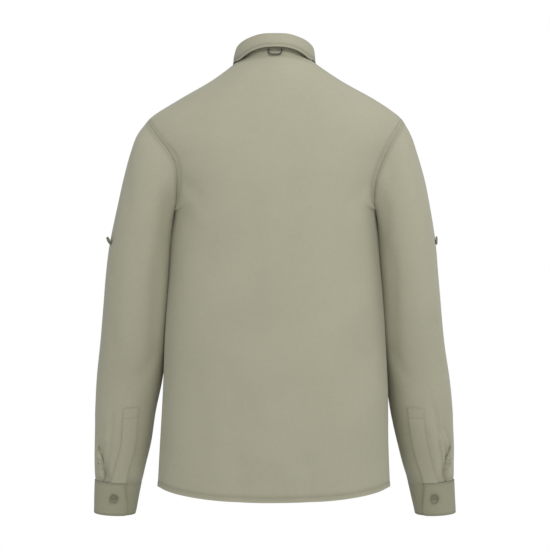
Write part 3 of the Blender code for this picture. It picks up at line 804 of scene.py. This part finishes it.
BAND_HALF = 0.015
UNDERLAP = 0.012  # how far the right front reaches past the centre, under the band
STEP_IN = 0.0026  # how far it steps in there
left_points = panel_surface(-1, "front", PANEL_V[:, None], EDGE_SHARES[None, :], BAND_HALF + GAP)
finish_panel("front_left_cloth", left_points, walked(left_points, 1), "front", 1.0)
right_points = panel_surface(1, "front", PANEL_V[:, None], EDGE_SHARES[None, :], -UNDERLAP)
right_points[..., 1] -= STEP_IN * ease((0.036 - right_points[..., 0]) / 0.018)
finish_panel("front_right_cloth", right_points, walked(right_points, 1), "front", 2.0)

outer_x, middle_x = np.linspace(0.010, BAND_HALF, 7), np.linspace(-0.009, 0.009, 9)
band_x = np.concatenate([np.linspace(-BAND_HALF, -0.010, 7), middle_x, outer_x])
band_side = np.where(band_x < 0, -1.0, 1.0)[None, :]
band_points = panel_surface(band_side, "front", PANEL_V[:, None], 1.0, np.abs(band_x)[None, :])
band_points[..., 1] += GAP
band_edge = BAND_HALF - np.abs(band_points[..., 0])
band_points[..., 1] += stitched(band_edge, BAND_STITCH, 0.0003) + stitched(band_edge, 0.0015, 0.0002, 0.0006)
lay_cloth("front_band_cloth", band_points, MIDDLE, 0.0018, rounded=0.0004)

# %% [markdown]
# ## The sleeves
#
# A sleeve is a tube that leaves the armhole on a slope and narrows to the cuff. Its
# sections are sloping ovals, given by their outer and their inner line. At the top the
# oval gives way to the real armhole seam, and at the cuff one pleat takes in the width.

# %% Sizes of the sleeves
SLEEVE = table(
    "outer_z outer_left outer_right inner_z inner_left inner_right depth forward square hold",
    (-0.0960, 0.2145, 0.2145, -0.2500, 0.1730, 0.1730, 0.0755, 0.000, 2.0, 1.0),
    (-0.1200, 0.2319, 0.2290, -0.2620, 0.1742, 0.1742, 0.0770, 0.000, 2.0, 0.72),
    (-0.1500, 0.2434, 0.2400, -0.2760, 0.1746, 0.1746, 0.0785, 0.001, 2.05, 0.45),
    (-0.1900, 0.2550, 0.2516, -0.2980, 0.1750, 0.1750, 0.0790, 0.002, 2.1, 0.20),
    (-0.2400, 0.2672, 0.2618, -0.3280, 0.1762, 0.1762, 0.0785, 0.004, 2.15, 0.05),
    (-0.3000, 0.2797, 0.2720, -0.3620, 0.1782, 0.1782, 0.0765, 0.006, 2.15, 0.0),
    (-0.3600, 0.2880, 0.2776, -0.3980, 0.1803, 0.1803, 0.0725, 0.009, 2.15, 0.0),
    (-0.4200, 0.2941, 0.2836, -0.4400, 0.1828, 0.1828, 0.0670, 0.012, 2.15, 0.0),
    (-0.4800, 0.2990, 0.2905, -0.4870, 0.1856, 0.1856, 0.0625, 0.016, 2.1, 0.0),
    (-0.5400, 0.3050, 0.2995, -0.5360, 0.1925, 0.1900, 0.0575, 0.020, 2.1, 0.0),
    (-0.6000, 0.3085, 0.3056, -0.5940, 0.2055, 0.1985, 0.0525, 0.023, 2.05, 0.0),
    (-0.6500, 0.3095, 0.3080, -0.6480, 0.2135, 0.2105, 0.0465, 0.026, 2.0, 0.0),
    (-0.6850, 0.3097, 0.3072, -0.6860, 0.2228, 0.2200, 0.0415, 0.028, 2.0, 0.0),
    (-0.7085, 0.3090, 0.3068, -0.7115, 0.2290, 0.2283, 0.0385, 0.030, 2.0, 0.0),
)
CUFF = table(
    "end outer_z outer_left outer_right inner_z inner_left inner_right depth forward",
    (0.0, -0.7091, 0.3102, 0.3086, -0.7121, 0.2280, 0.2271, 0.0397, 0.030),
    (1.0, -0.7655, 0.3118, 0.3112, -0.7685, 0.2380, 0.2390, 0.0360, 0.031),
)

# The pleat at the cuff: its angle from the outer line, and its share of the full depth
PLEAT = table(
    "z       angle share",
    (-0.6400, 30.0, 0.0),
    (-0.6600, 35.0, 0.45),
    (-0.6850, 42.0, 1.0),
    (-0.7000, 47.0, 0.9),
    (-0.7085, 49.0, 0.35),
)
PLEAT_DEPTH = 0.0090
LIP = 4.5  # degrees

# The placket on the sleeve, as angles from the outer line
PLACKET = table(
    "z       outer inner",
    (-0.5850, 91.0, 119.5),
    (-0.6500, 91.0, 122.5),
    (-0.7085, 78.0, 113.0),
)


def slope_section(row, side, degrees):
    """A sloping section, from its outer line by the back to its inner line."""
    word = "left" if side < 0 else "right"
    start = stack(side * row["outer_" + word], row["forward"], row["outer_z"])
    end = stack(side * row["inner_" + word], row["forward"], row["inner_z"])
    c, s = oval(np.radians(degrees), row.get("square", 2.0))
    points = (start + end) / 2 + (start - end) / 2 * c[..., None]
    points[..., 1] -= row["depth"] * s
    return points, (start + end) / 2


def armhole_ring(side, degrees, share=0.0):
    """The armhole seam, at angles from the shoulder tip by the back to the underarm and on."""
    degrees = degrees % 360
    behind = degrees <= 180
    v = NECK_ROWS + np.where(behind, degrees, 360 - degrees) * ARMHOLE_ROWS / 180
    faces = [panel_surface(side, face, v, share) for face in ("back", "front")]
    return np.where(behind[..., None], *faces)


def toward(points, centre, distance):
    """Points moved toward a centre by a distance."""
    way = centre - points
    return points + way / np.linalg.norm(way, axis=-1, keepdims=True) * distance[..., None]


def pleat_shape(past):
    """How deep the pleat is, in degrees past its lip: it drops at once and rises slowly."""
    return ease(past / 3.0) - ease((past - 4.0) / 30.0)


def lip_shift(past):
    """The lip leans over the slot, and the cloth below it comes from under the lip."""
    lean = LIP * ease((past + 18) / 17) * ease((2.2 - past) / 2.2)
    return lean - LIP * ease((past - 0.5) / 2.2) * ease((26 - past) / 22)


def sleeve_surface(side, z, degrees):
    """The sleeve at a height of its outer line and an angle from it."""
    z, degrees = np.broadcast_arrays(np.asarray(z, float), np.asarray(degrees, float))
    fold = curve(PLEAT, "z", z)
    degrees = degrees + np.where(z > PLEAT[0]["z"], 0.0, fold["share"]) * lip_shift(degrees - fold["angle"])
    row = curve(SLEEVE, "outer_z", z)
    points, centre = slope_section(row, side, degrees)
    top = {name: np.full(z.shape, value) for name, value in SLEEVE[0].items()}
    first = slope_section(top, side, degrees)[0]
    clear = SEAM + TIP_CLEAR * np.maximum(0.0, np.cos(np.radians(degrees))) ** 2
    joined = armhole_ring(side, degrees)
    joined[..., 0] += side * clear
    points = points + (joined - first) * row["hold"][..., None]
    pressed = PLEAT_DEPTH * fold["share"] * pleat_shape(degrees - fold["angle"])
    return toward(points, centre, np.where(z > PLEAT[0]["z"], 0.0, pressed))


print("sleeve sections:", len(SLEEVE))

# %% Sleeves
# Across is the angle from the outer line, a millimetre for each degree; height is z
SLEEVE_CREASES = table(
    "from_x  from_z  to_x    to_z    width  depth",
    (0.020, -0.150, 0.060, -0.260, 0.0110, -0.0014),
    (0.110, -0.215, 0.150, -0.330, 0.0120, -0.0016),
    (0.128, -0.300, 0.136, -0.520, 0.0140, -0.0026),
    (0.085, -0.330, 0.080, -0.520, 0.0200, 0.0014),
    (0.045, -0.420, 0.070, -0.500, 0.0110, -0.0010),
    (0.150, -0.470, 0.105, -0.540, 0.0120, -0.0014),
    (0.074, -0.560, 0.062, -0.700, 0.0060, -0.0022),
    (0.086, -0.590, 0.076, -0.700, 0.0050, 0.0016),
    (0.058, -0.610, 0.030, -0.660, 0.0050, -0.0016),
    (0.060, -0.640, 0.024, -0.700, 0.0050, -0.0018),
    (0.070, -0.620, 0.048, -0.690, 0.0040, 0.0012),
    (0.010, -0.600, 0.022, -0.700, 0.0080, -0.0014),
    (0.345, -0.350, 0.300, -0.480, 0.0180, -0.0020),
    (0.250, -0.300, 0.290, -0.480, 0.0180, -0.0022),
    (0.215, -0.430, 0.270, -0.520, 0.0130, -0.0018),
    (0.320, -0.560, 0.300, -0.690, 0.0110, -0.0018),
    (0.260, -0.570, 0.250, -0.690, 0.0100, -0.0016),
)
SLEEVE_FULL = 0.0032  # how much fuller the sleeve is where it turns in to the body
TAB = dict(left=0.040, right=0.021)  # where the roll-up tabs are sewn inside
HALF_ROUND = 0.85  # metres round the sleeve for each metre of across
SLEEVE_END = -0.7085
PLACKET_TOP = -0.585
SLEEVE_Z = spaced(
    (TIP_Z, -0.112, 17), (-0.112, PLACKET_TOP, 118), (PLACKET_TOP, -0.690, 46), (-0.690, SLEEVE_END, 14)
)
SLEEVE_DEGREES = np.unique(np.concatenate([np.linspace(0, 360, 91), np.linspace(24, 76, 105)]))


def sleeve_skin(side, z, degrees):
    """The sleeve's outer side with its creases, and its middle."""
    points = sleeve_surface(side, z, degrees)
    inside = (side * 0.24, 0.01, -0.42)
    normals = outward(points, inside, ring=True)
    down = walked(points, 0)
    raised = rolled(down)
    across = np.broadcast_to(degrees * 0.001, down.shape)
    soft = ease(down / 0.03) * ease((down[-1:] - down) / 0.01)
    height = points[..., 2]
    wrapped = creases(SLEEVE_CREASES, across, height) + creases(SLEEVE_CREASES, across - 0.36, height)
    wrapped += creases(SLEEVE_CREASES, across + 0.36, height)
    lively = uneven(np.cos(np.radians(degrees)) * 0.06, height, 0.0004, 2.0 + side)
    raised += soft * (wrapped + lively)
    full = SLEEVE_FULL * near(across, 0.150, 0.018)
    raised += full * ease((-0.19 - height) / 0.05) * ease((height + 0.56) / 0.1)
    tab = TAB["left" if side < 0 else "right"]
    aside = np.abs(across - tab) * HALF_ROUND
    strip = ease((height + 0.336) / 0.002) * ease((-0.262 - height) / 0.002)
    raised += strip * (0.0003 * ease((0.0062 - aside) / 0.001) + stitched(aside, 0.0045, 0.0003))
    # Pucker relief and painted shade at the armhole seam and in a band above the cuff.
    pucker_and_painted_shade = np.clip(near(down, 0.003) + near(down[-1:] - down, 0.0, 0.012), 0, 1) * 0.5
    return points + normals * raised[..., None], inside, pucker_and_painted_shade


def tucked_ends(side, points, degrees):
    """The sleeve's allowances: two rows under the armhole's edge, and two inside the cuff."""
    rows = []
    for share, deep in ((0.014, 0.0016), (0.002, 0.0014)):
        under = armhole_ring(side, degrees, share)[0]
        middle = np.stack([0 * under[:, 0] + side * 0.10, 0 * under[:, 1], under[:, 2] - 0.02], -1)
        rows.append(toward(under, middle, np.full(len(under), deep)))
    last = points[-1]
    centre = np.broadcast_to(last.mean(0), last.shape)
    ends = []
    for deep, drop in ((0.0006, 0.0007), (0.0026, 0.0040)):
        ends.append(toward(last, centre, np.full(len(last), deep)) - (0, 0, drop))
    return np.concatenate([np.stack(rows), points, np.stack(ends)])


for side, word in ((-1, "left"), (1, "right")):
    points, inside, pucker_and_painted_shade = sleeve_skin(side, SLEEVE_Z[:, None], SLEEVE_DEGREES[None, :])
    whole = tucked_ends(side, points, SLEEVE_DEGREES[None, :])
    name = f"sleeve_{word}_cloth"
    lay_cloth(name, whole, inside, ring=True, pucker_and_painted_shade=np.pad(pucker_and_painted_shade, ((2, 2), (0, 0)), "edge"))
    keep_sheet(name, points, inside, ring=True)

# %% [markdown]
# ## Plackets and cuffs
#
# Above each cuff a flat band with a square top covers the slit of the sleeve. The cuff is
# a double band that starts at its lap, goes round by the outer line and ends under itself.

# %% Plackets
def on_sheet(name, rows, columns, r, c):
    """Points and normals of a sheet at row and column values between its own."""
    sheet = sheets[name]
    turn = 1 if rows[-1] > rows[0] else -1
    ri = np.interp(np.asarray(r) * turn, rows * turn, np.arange(len(rows)))
    ci = np.interp(c, columns, np.arange(len(columns)))
    r0, c0 = np.minimum(ri.astype(int), len(rows) - 2), np.minimum(ci.astype(int), len(columns) - 2)
    fr, fc = (ri - r0)[..., None], (ci - c0)[..., None]
    found = []
    for grid in (sheet["points"], sheet["normals"]):
        top = grid[r0, c0] * (1 - fc) + grid[r0, c0 + 1] * fc
        low = grid[r0 + 1, c0] * (1 - fc) + grid[r0 + 1, c0 + 1] * fc
        found.append(top * (1 - fr) + low * fr)
    return found


PLACKET_WALL = 0.0013
PLACKET_LIFT = 0.0019  # how far its outer side stands off the sleeve
z = spaced((PLACKET_TOP, -0.606, 24), (-0.606, SLEEVE_END, 52))[:, None]
f = spaced((0, 0.14, 8), (0.14, 0.86, 14), (0.86, 1, 8))[None, :]
edges = curve(PLACKET, "z", z)
degrees = edges["outer"] + (edges["inner"] - edges["outer"]) * f
heights = np.broadcast_to(z, degrees.shape)
for side, word in ((-1, "left"), (1, "right")):
    points, normals = on_sheet(f"sleeve_{word}_cloth", SLEEVE_Z, SLEEVE_DEGREES, heights, degrees)
    across, down = walked(points, 1), walked(points, 0)
    aside = np.minimum(across, across[:, -1:] - across)
    raised = PLACKET_LIFT + stitched(aside, PLACKET_STITCH, 0.0003, 0.0006)
    raised = raised + stitched(down, PLACKET_STITCH, 0.0003, 0.0006)
    raised += stitched(down, BOX_STITCH, 0.0004) - 0.0004 * ease((0.0012 - aside) / 0.0012)
    points = points + normals * raised[..., None]
    inside = (side * 0.26, 0.04, -0.65)
    lay_cloth(f"sleeve_placket_{word}_cloth", points, inside, PLACKET_WALL, rounded=0.0003)

# %% Cuffs
CUFF_WALL = 0.0019
CUFF_ROUND = 0.24
CUFF_LENGTH = 0.056
CUFF_START = 112.5  # degrees from the outer line, at the top of the lap
CUFF_SLANT = 20.0  # degrees more at its lower edge
CUFF_TURN = 398.0  # degrees from the lap's edge to the end underneath
CORNER = 0.0075


def cuff_surface(side, end, degrees, deep=0.0):
    """The cuff at a share of its height and an angle from its outer line."""
    end, degrees, deep = np.broadcast_arrays(*[np.asarray(x, float) for x in (end, degrees, deep)])
    points, centre = slope_section(curve(CUFF, "end", end), side, degrees)
    return toward(points, centre, deep)


for side, word in ((-1, "left"), (1, "right")):
    end = spaced((0, 0.1, 9), (0.1, 0.85, 15), (0.85, 1, 14))[:, None]
    gone = spaced((0, 18, 28), (18, CUFF_TURN, 128))[None, :]
    in_corner = np.maximum(0.0, CORNER - gone / 360 * CUFF_ROUND)
    inset = CORNER - np.sqrt(np.maximum(0.0, CORNER**2 - in_corner**2))
    deep = (CUFF_WALL + GAP + 0.0003) * ease((gone - 250) / 80)
    reach = end * (1 - inset / CUFF_LENGTH)
    points = cuff_surface(side, reach, CUFF_START + CUFF_SLANT * reach - gone, deep)
    inside = (side * 0.27, 0.03, -0.74)
    normals = outward(points, inside)
    across, down = walked(points, 1), walked(points, 0)
    edge = np.minimum(np.minimum(down, down[-1:] - down), across)
    raised = stitched(edge, CUFF_STITCH, 0.0004, 0.0008) - 0.0003 * ease((0.001 - edge) / 0.001)
    raised += ease(edge / 0.01) * uneven(across, down * 3, 0.00012, side)
    points = points + normals * raised[..., None]
    # Pucker relief and painted shade along the stitch lines.
    pucker_and_painted_shade = 0.5 * near(edge, CUFF_STITCH, 0.002)
    # The cuff takes the darker copy of the cloth, as painted shade.
    lay_cloth(f"cuff_{word}_cloth", points, inside, CUFF_WALL, rounded=0.0005, pucker_and_painted_shade=pucker_and_painted_shade, finish=shaded_cuff_finish)

# %% [markdown]
# ## The collar
#
# A shirt collar is two pieces. The stand rises from the neck seam and buttons at the
# front, and the fall is sewn to its top edge and turns down over it. The fold between
# them is round, never sharp, and the fall hangs clear of the back.

# %% Collar
FOLD_RADIUS = 0.0032
FOLD_RISE = 0.0016
COLLAR_WALL = 0.0018
FALL = table(
    "angle edge_angle out_left out_right over",
    (0.0, 0.0, 0.0100, 0.0100, 0.0326),
    (15.0, 14.0, 0.0100, 0.0098, 0.0303),
    (30.0, 28.0, 0.0098, 0.0094, 0.0236),
    (45.0, 42.0, 0.0092, 0.0082, 0.0140),
    (60.0, 55.0, 0.0088, 0.0068, 0.0057),
    (90.0, 80.0, 0.0080, 0.0050, 0.0035),
    (120.0, 104.0, 0.0120, 0.0100, 0.0045),
    (150.0, 127.0, 0.0225, 0.0220, 0.0070),
    (172.0, 149.0, 0.0400, 0.0400, 0.0070),
)
STAND = table(
    "angle fold_z  lean",
    (0.0, 0.0424, -0.0040),
    (22.0, 0.0418, -0.0030),
    (45.0, 0.0370, -0.0015),
    (68.0, 0.0308, -0.0005),
    (90.0, 0.0243, 0.0005),
    (135.0, 0.0030, -0.0010),
    (180.0, -0.0180, -0.0030),
    (192.0, -0.0200, -0.0030),
)


def away_from_neck(angle):
    """The level direction away from the neck seam."""
    along = neck_ring(angle + 0.01) - neck_ring(angle - 0.01)
    way = stack(along[..., 1], -along[..., 0], 0 * along[..., 0])
    return way / np.linalg.norm(way, axis=-1, keepdims=True)


def stand_surface(degrees, height, deep=0.0):
    """The stand's outer side: height 0 is the neck seam and 1 its top edge."""
    degrees, height, deep = np.broadcast_arrays(*[np.asarray(x, float) for x in (degrees, height, deep)])
    angle = np.radians(degrees)
    row = curve(STAND, "angle", np.abs(degrees))
    out = away_from_neck(angle)
    foot = neck_ring(angle) + (0, 0, GAP)
    top = foot + out * row["lean"][..., None]
    top[..., 2] = row["fold_z"] - FOLD_RADIUS - FOLD_RISE
    return foot + (top - foot) * height[..., None] - out * deep[..., None]


def body_top(face, x, y):
    """How high the body's panel is over places in plan."""
    low, high = np.full(x.shape, UNDERARM_Z), np.full(x.shape, NECK_SIDE_Z)
    for _ in range(40):
        z = (low + high) / 2
        row = curve(BODY, "z", z)
        square = row["square"]
        inside = (np.abs(x) / row["half_width"]) ** square + (np.abs(y) / row[face]) ** square < 1
        low, high = np.where(inside, z, low), np.where(inside, high, z)
    return low


def fall_surface(degrees, steps):
    """The turned-down collar: round the fold, then down to its edge. One row for each step."""
    row = curve(FALL, "angle", np.abs(degrees))
    out = away_from_neck(np.radians(degrees))
    middle = stand_surface(degrees, 1.0) + out * (FOLD_RADIUS - COLLAR_WALL - GAP) + (0, 0, FOLD_RISE)
    edge_angle = np.radians(np.sign(degrees) * row["edge_angle"])
    out_edge = np.where(degrees < 0, row["out_left"], row["out_right"])
    edge = neck_ring(edge_angle) + away_from_neck(edge_angle) * out_edge[..., None]
    tops = [body_top(face, edge[..., 0], edge[..., 1]) for face in ("back", "front")]
    edge[..., 2] = np.where(edge[..., 1] < 0, *tops) + row["over"]
    rows = []
    for turn in np.radians(np.linspace(180, 0, steps[0])):
        rows.append(middle + out * FOLD_RADIUS * np.cos(turn) + (0, 0, FOLD_RADIUS * np.sin(turn)))
    start = rows[-1]
    for f in spaced((0, 0.75, steps[1]), (0.75, 1, steps[2]))[1:]:
        rows.append(start + (edge - start) * f + out * 0.0015 * np.sin(np.pi * f))
    return np.stack(rows)


stand_degrees = np.linspace(-190, 190, 191)[None, :]
stand_height = spaced((0, 0.3, 8), (0.3, 1, 12))[:, None]
low = ease((np.abs(stand_degrees) - 176) / 14) * 0.25
tuck = (COLLAR_WALL + GAP + 0.0003) * ease((stand_degrees - 140) / 30)
points = stand_surface(stand_degrees, stand_height * (1 - low), tuck)
down = walked(points, 0)
raised = stitched(down, STAND_STITCH, 0.0003, 0.0007)
points = points + outward(points, (0, 0, 0)) * raised[..., None]
lay_cloth("collar_stand_cloth", points, (0, 0, 0), COLLAR_WALL, rounded=0.0004)

FRONT_END = 172  # degrees from the centre back to each front end of the fall
closer = [np.linspace(160, FRONT_END, 14), np.linspace(-FRONT_END, -160, 14)]
fall_degrees = np.unique(np.concatenate([np.linspace(-FRONT_END, FRONT_END, 173), *closer]))
points = fall_surface(fall_degrees, (10, 14, 18))
inside = (0, 0, -0.02)
across, down = walked(points, 1), walked(points, 0)
edge = np.minimum(down[-1:] - down, np.minimum(across, across[:, -1:] - across))
raised = stitched(edge, FALL_STITCH, 0.0004, 0.0009) - 0.0003 * ease((0.001 - edge) / 0.001)
raised += ease(down / 0.02) * uneven(across, down, 0.00025, 4.0)
points = points + outward(points, inside) * raised[..., None]
# The whole fall is a little darker and more puckered, and along its stitch line comes painted shade with
# pucker relief.
pucker_and_painted_shade = 0.18 + 0.4 * near(edge, FALL_STITCH, 0.003)
lay_cloth("collar_fall_cloth", points, inside, COLLAR_WALL, rounded=0.0005, pucker_and_painted_shade=pucker_and_painted_shade)

# %% [markdown]
# ## The hanging loop
#
# A short braided cord is caught in the neck seam at both ends. A few places give its line
# over the back, and shallow ridges that cross on its surface stand for the braid.

# %% Hanging loop
LOOP_RADIUS = 0.0014
LOOP_SIDES = 24
LOOP_RINGS = 90
LOOP_PATH = ((0.0108, 0.0160), (0.0110, 0.0118), (0.0098, 0.0085), (0.0060, 0.0067), (0.0, 0.0062))


def smooth_route(places, count):
    """A smooth open line through places, at even distances."""
    places = np.array(places, float)
    ends = np.concatenate([2 * places[:1] - places[1:2], places, 2 * places[-1:] - places[-2:-1]])
    line = []
    for a, b, c, d in zip(ends, ends[1:], ends[2:], ends[3:]):
        bend, twist = 2 * a - 5 * b + 4 * c - d, 3 * b - a - 3 * c + d
        for f in np.linspace(0, 1, 12)[:-1]:
            line.append(b + (c - a) / 2 * f + bend / 2 * f**2 + twist / 2 * f**3)
    line = np.array(line + [places[-1]])
    gone = np.concatenate([[0], np.cumsum(np.linalg.norm(np.diff(line, axis=0), axis=1))])
    return read_at(np.linspace(0, gone[-1], count), gone, line), gone[-1]


route = []
for x, z in [(-x, z) for x, z in LOOP_PATH] + list(LOOP_PATH[-2::-1]):
    ring = neck_ring(np.array(math.asin(x / NECK_HALF_WIDTH)))
    second = panel_surface(1, "back", 1.0, 1.0, abs(x))
    drop = max(0.0, ring[2] - z) / (ring[2] - second[2])
    route.append((x, ring[1] + (second[1] - ring[1]) * drop - LOOP_RADIUS - 0.0008, z))
line, loop_length = smooth_route(route, LOOP_RINGS)
along = np.gradient(line, axis=0)
along /= np.linalg.norm(along, axis=1, keepdims=True)
first = np.cross(along, (0, 1, 0))
first /= np.linalg.norm(first, axis=1, keepdims=True)
second = np.cross(along, first)
turn = np.linspace(0, 2 * np.pi, LOOP_SIDES + 1)[None, :]
gone = np.linspace(0, loop_length, LOOP_RINGS)[:, None]
braid = np.abs(np.sin(3 * turn + gone * 1500)) + np.abs(np.sin(3 * turn - gone * 1500))
radius = (LOOP_RADIUS * (0.62 + 0.07 * braid))[..., None]
way = first[:, None] * np.cos(turn)[..., None] + second[:, None] * np.sin(turn)[..., None]
points = line[:, None] + way * radius
deselect()
bpy.ops.mesh.primitive_cylinder_add(vertices=LOOP_SIDES, radius=1, depth=2, end_fill_type="NGON")
loop = bpy.context.object
loop.name = loop.data.name = "hanging_loop_cord"
loop.data.materials.append(cord)
edit(loop, bpy.ops.mesh.select_mode, type="EDGE")
edit(loop, bpy.ops.mesh.select_all, action="DESELECT")
for line_edge in loop.data.edges:
    ends = [loop.data.vertices[i].co for i in line_edge.vertices]
    line_edge.select = abs(ends[0].z - ends[1].z) > 1
edit(loop, bpy.ops.mesh.subdivide, number_cuts=LOOP_RINGS - 2)
for corner in loop.data.vertices:
    r = int(round((corner.co.z + 1) / 2 * (LOOP_RINGS - 1)))
    c = int(round(math.atan2(corner.co.y, corner.co.x) / (2 * math.pi) * LOOP_SIDES)) % LOOP_SIDES
    corner.co = points[r, c]
edit(loop, bpy.ops.mesh.select_all, action="SELECT")
edit(loop, bpy.ops.mesh.normals_make_consistent, inside=False)
bpy.ops.object.shade_smooth_by_angle(angle=math.radians(60))
print("hanging loop", round(loop_length * 1000), "mm long,", len(loop.data.polygons), "faces")

# %% [markdown]
# ## Stitches
#
# Every line of stitching is a row of small beads of thread, one for each stitch, that sit
# in the groove the thread presses into the cloth. A shirt has about four to a centimetre.

# %% Stitches
def edge_lines(name, at, sides):
    """Lines at one distance inside the edges of a sheet."""
    down, across = sheets[name]["down"], sheets[name]["across"]
    distance = dict(
        top=(down, 0), bottom=(down[-1:] - down, 0), start=(across, 1), end=(across[:, -1:] - across, 1)
    )
    lines = []
    for side in sides:
        grid, axis = distance[side]
        points, normals = line_on(name, grid, at, axis)
        clear = 2 if side in ("start", "end") else 1
        lines.append((points[clear:-clear], normals[clear:-clear]))
    return lines


for panel, ends in (("back", ("start", "end")), ("front_left", ("start",)), ("front_right", ("start",))):
    name = panel + "_cloth"
    rows = edge_lines(name, FELL_SECOND, ends) + edge_lines(name, FELL_FIRST, ends)
    rows += edge_lines(name, HEM_STITCH, ("bottom",)) + edge_lines(name, NECK_STITCH, ("top",))
    sew(panel + "_stitches", rows, thread)
sew("front_band_stitches", edge_lines("front_band_cloth", BAND_STITCH, ("start", "end")), thread)
for word in ("left", "right"):
    name = f"sleeve_placket_{word}_cloth"
    box = line_on(name, sheets[name]["down"], BOX_STITCH, 0)
    rows = edge_lines(name, PLACKET_STITCH, ("top", "start", "end"))
    sew(f"sleeve_placket_{word}_stitches", rows + [box], thread)
    rows = edge_lines(f"cuff_{word}_cloth", CUFF_STITCH, ("top", "bottom", "start"))
    sew(f"cuff_{word}_stitches", rows, thread)
sew("collar_stand_stitches", edge_lines("collar_stand_cloth", STAND_STITCH, ("top",)), thread)
rows = edge_lines("collar_fall_cloth", FALL_STITCH, ("bottom", "start", "end"))
sew("collar_fall_stitches", rows, thread)

# %% [markdown]
# ## Buttons
#
# Every button is the same four-hole button. It is modelled once, lying flat: a disc whose
# rim is left standing when the middle is pushed down, with four holes cut through it and
# thread across them. Copies are then turned onto the seat of each plain button.

# %% One button
BUTTON_RADIUS = 0.007
BUTTON_HEIGHT = 0.0026
HOLE_RADIUS = 0.0009
HOLE_PLACE = 0.0015
STRAND_RADIUS = 0.0003


def pick_faces(piece, test):
    """Selects the faces whose centre and normal pass a test."""
    edit(piece, bpy.ops.mesh.select_mode, type="FACE")
    edit(piece, bpy.ops.mesh.select_all, action="DESELECT")
    for face in piece.data.polygons:
        face.select = test(face.center, face.normal)


deselect()
bpy.ops.mesh.primitive_cylinder_add(vertices=40, radius=BUTTON_RADIUS, depth=BUTTON_HEIGHT)
button = bpy.context.object
button.name = "button"
pick_faces(button, lambda centre, normal: normal.z > 0.9)
edit(button, bpy.ops.mesh.inset, thickness=0.0013)
edit(button, bpy.ops.mesh.inset, thickness=0.0007)
edit(button, bpy.ops.transform.translate, value=(0, 0, -0.0009))
pick_faces(button, lambda centre, normal: normal.z < -0.9)
edit(button, bpy.ops.mesh.inset, thickness=0.0012)
apply(button, "BEVEL", width=0.00045, segments=2, limit_method="ANGLE", angle_limit=math.radians(35))
for x in (-HOLE_PLACE, HOLE_PLACE):
    for y in (-HOLE_PLACE, HOLE_PLACE):
        deselect()
        bpy.ops.mesh.primitive_cylinder_add(vertices=12, radius=HOLE_RADIUS, depth=0.01, location=(x, y, 0))
        drill = bpy.context.object
        apply(button, "BOOLEAN", operation="DIFFERENCE", object=drill)
        bpy.data.objects.remove(drill)
button.data.materials.append(plastic)
choose(button)
bpy.ops.object.shade_smooth_by_angle(angle=math.radians(35))

deselect()
threads = []
for y in (-HOLE_PLACE, HOLE_PLACE):
    for shift in (-0.00028, 0.00028):
        bpy.ops.mesh.primitive_cylinder_add(
            vertices=8,
            radius=STRAND_RADIUS,
            depth=2 * HOLE_PLACE + 0.0006,
            location=(0, y + shift, 0.00062),
            rotation=(0, math.pi / 2, 0),
        )
        strand = bpy.context.object
        apply(strand, "BEVEL", width=0.0002, segments=2, limit_method="ANGLE", angle_limit=math.radians(50))
        threads.append(strand)
deselect()
for strand in threads:
    strand.select_set(True)
    strand.data.materials.append(thread)
bpy.context.view_layer.objects.active = threads[0]
bpy.ops.object.join()
strands = bpy.context.object
bpy.ops.object.transform_apply(location=True, rotation=True, scale=True)
bpy.ops.object.shade_smooth()
deselect()
strands.select_set(True)
button.select_set(True)
bpy.context.view_layer.objects.active = button
bpy.ops.object.join()
print("one button:", len(button.data.polygons), "faces")

# %% Place a button on each seat
def seat_of(node):
    """The centre of a plain button and the direction that it faces."""
    corners = np.array([corner.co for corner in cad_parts[node].data.vertices])
    low, high = corners.min(0), corners.max(0)
    centre = (low + high) / 2
    spread = np.linalg.svd(np.unique(corners.round(6), axis=0) - corners.mean(0))[2]
    axis = spread[2]
    outer = centre - np.array((np.sign(centre[0]) * 0.235 if abs(centre[0]) > 0.1 else 0, 0.012, centre[2]))
    return centre, axis if axis @ outer > 0 else -axis


placed = []
for node in sorted(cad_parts):
    if "button" not in node:
        continue
    centre, axis = seat_of(node)
    copy = button.copy()
    copy.data = button.data.copy()
    copy.name = copy.data.name = node + "_four_hole"
    bpy.context.scene.collection.objects.link(copy)
    turn = Vector(axis).to_track_quat("Z", "Y").to_matrix().to_4x4()
    copy.data.transform(Matrix.Translation(Vector(centre)) @ turn)
    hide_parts(node)
    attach(copy, "root")
    placed.append(copy)
bpy.data.objects.remove(button)
print(len(placed), "buttons")

# %% [markdown]
# ## What each piece stands for
#
# Every finer piece rides on the shirt's one body and takes the place of the plain piece.
# The CUT table lists how large each piece of cloth was when it was cut, before it was sewn, and how it is
# held, but only its piece names are read here.

# %% Ride and replace
CUT = table(
    "piece            width  length area   held",
    ("back", 0.530, 0.745, 0.348, "hung"),
    ("front_left", 0.255, 0.700, 0.160, "hung"),
    ("front_right", 0.285, 0.700, 0.179, "hung"),
    ("front_band", 0.030, 0.740, 0.0222, "hung"),
    ("sleeve_left", 0.425, 0.640, 0.211, "hung"),
    ("sleeve_right", 0.425, 0.640, 0.206, "hung"),
    ("sleeve_placket_left", 0.030, 0.125, 0.0036, "stretched"),
    ("sleeve_placket_right", 0.030, 0.125, 0.0037, "stretched"),
    ("cuff_left", 0.268, 0.056, 0.0150, "folded"),
    ("cuff_right", 0.267, 0.056, 0.0149, "folded"),
    ("collar_stand", 0.425, 0.028, 0.0087, "folded"),
    ("collar_fall", 0.470, 0.058, 0.0178, "folded"),
)
for row in CUT:
    piece = bpy.data.objects[row["piece"] + "_cloth"]
    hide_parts(row["piece"])
    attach(piece, "root")
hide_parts("hanging_loop")
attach(loop, "root")
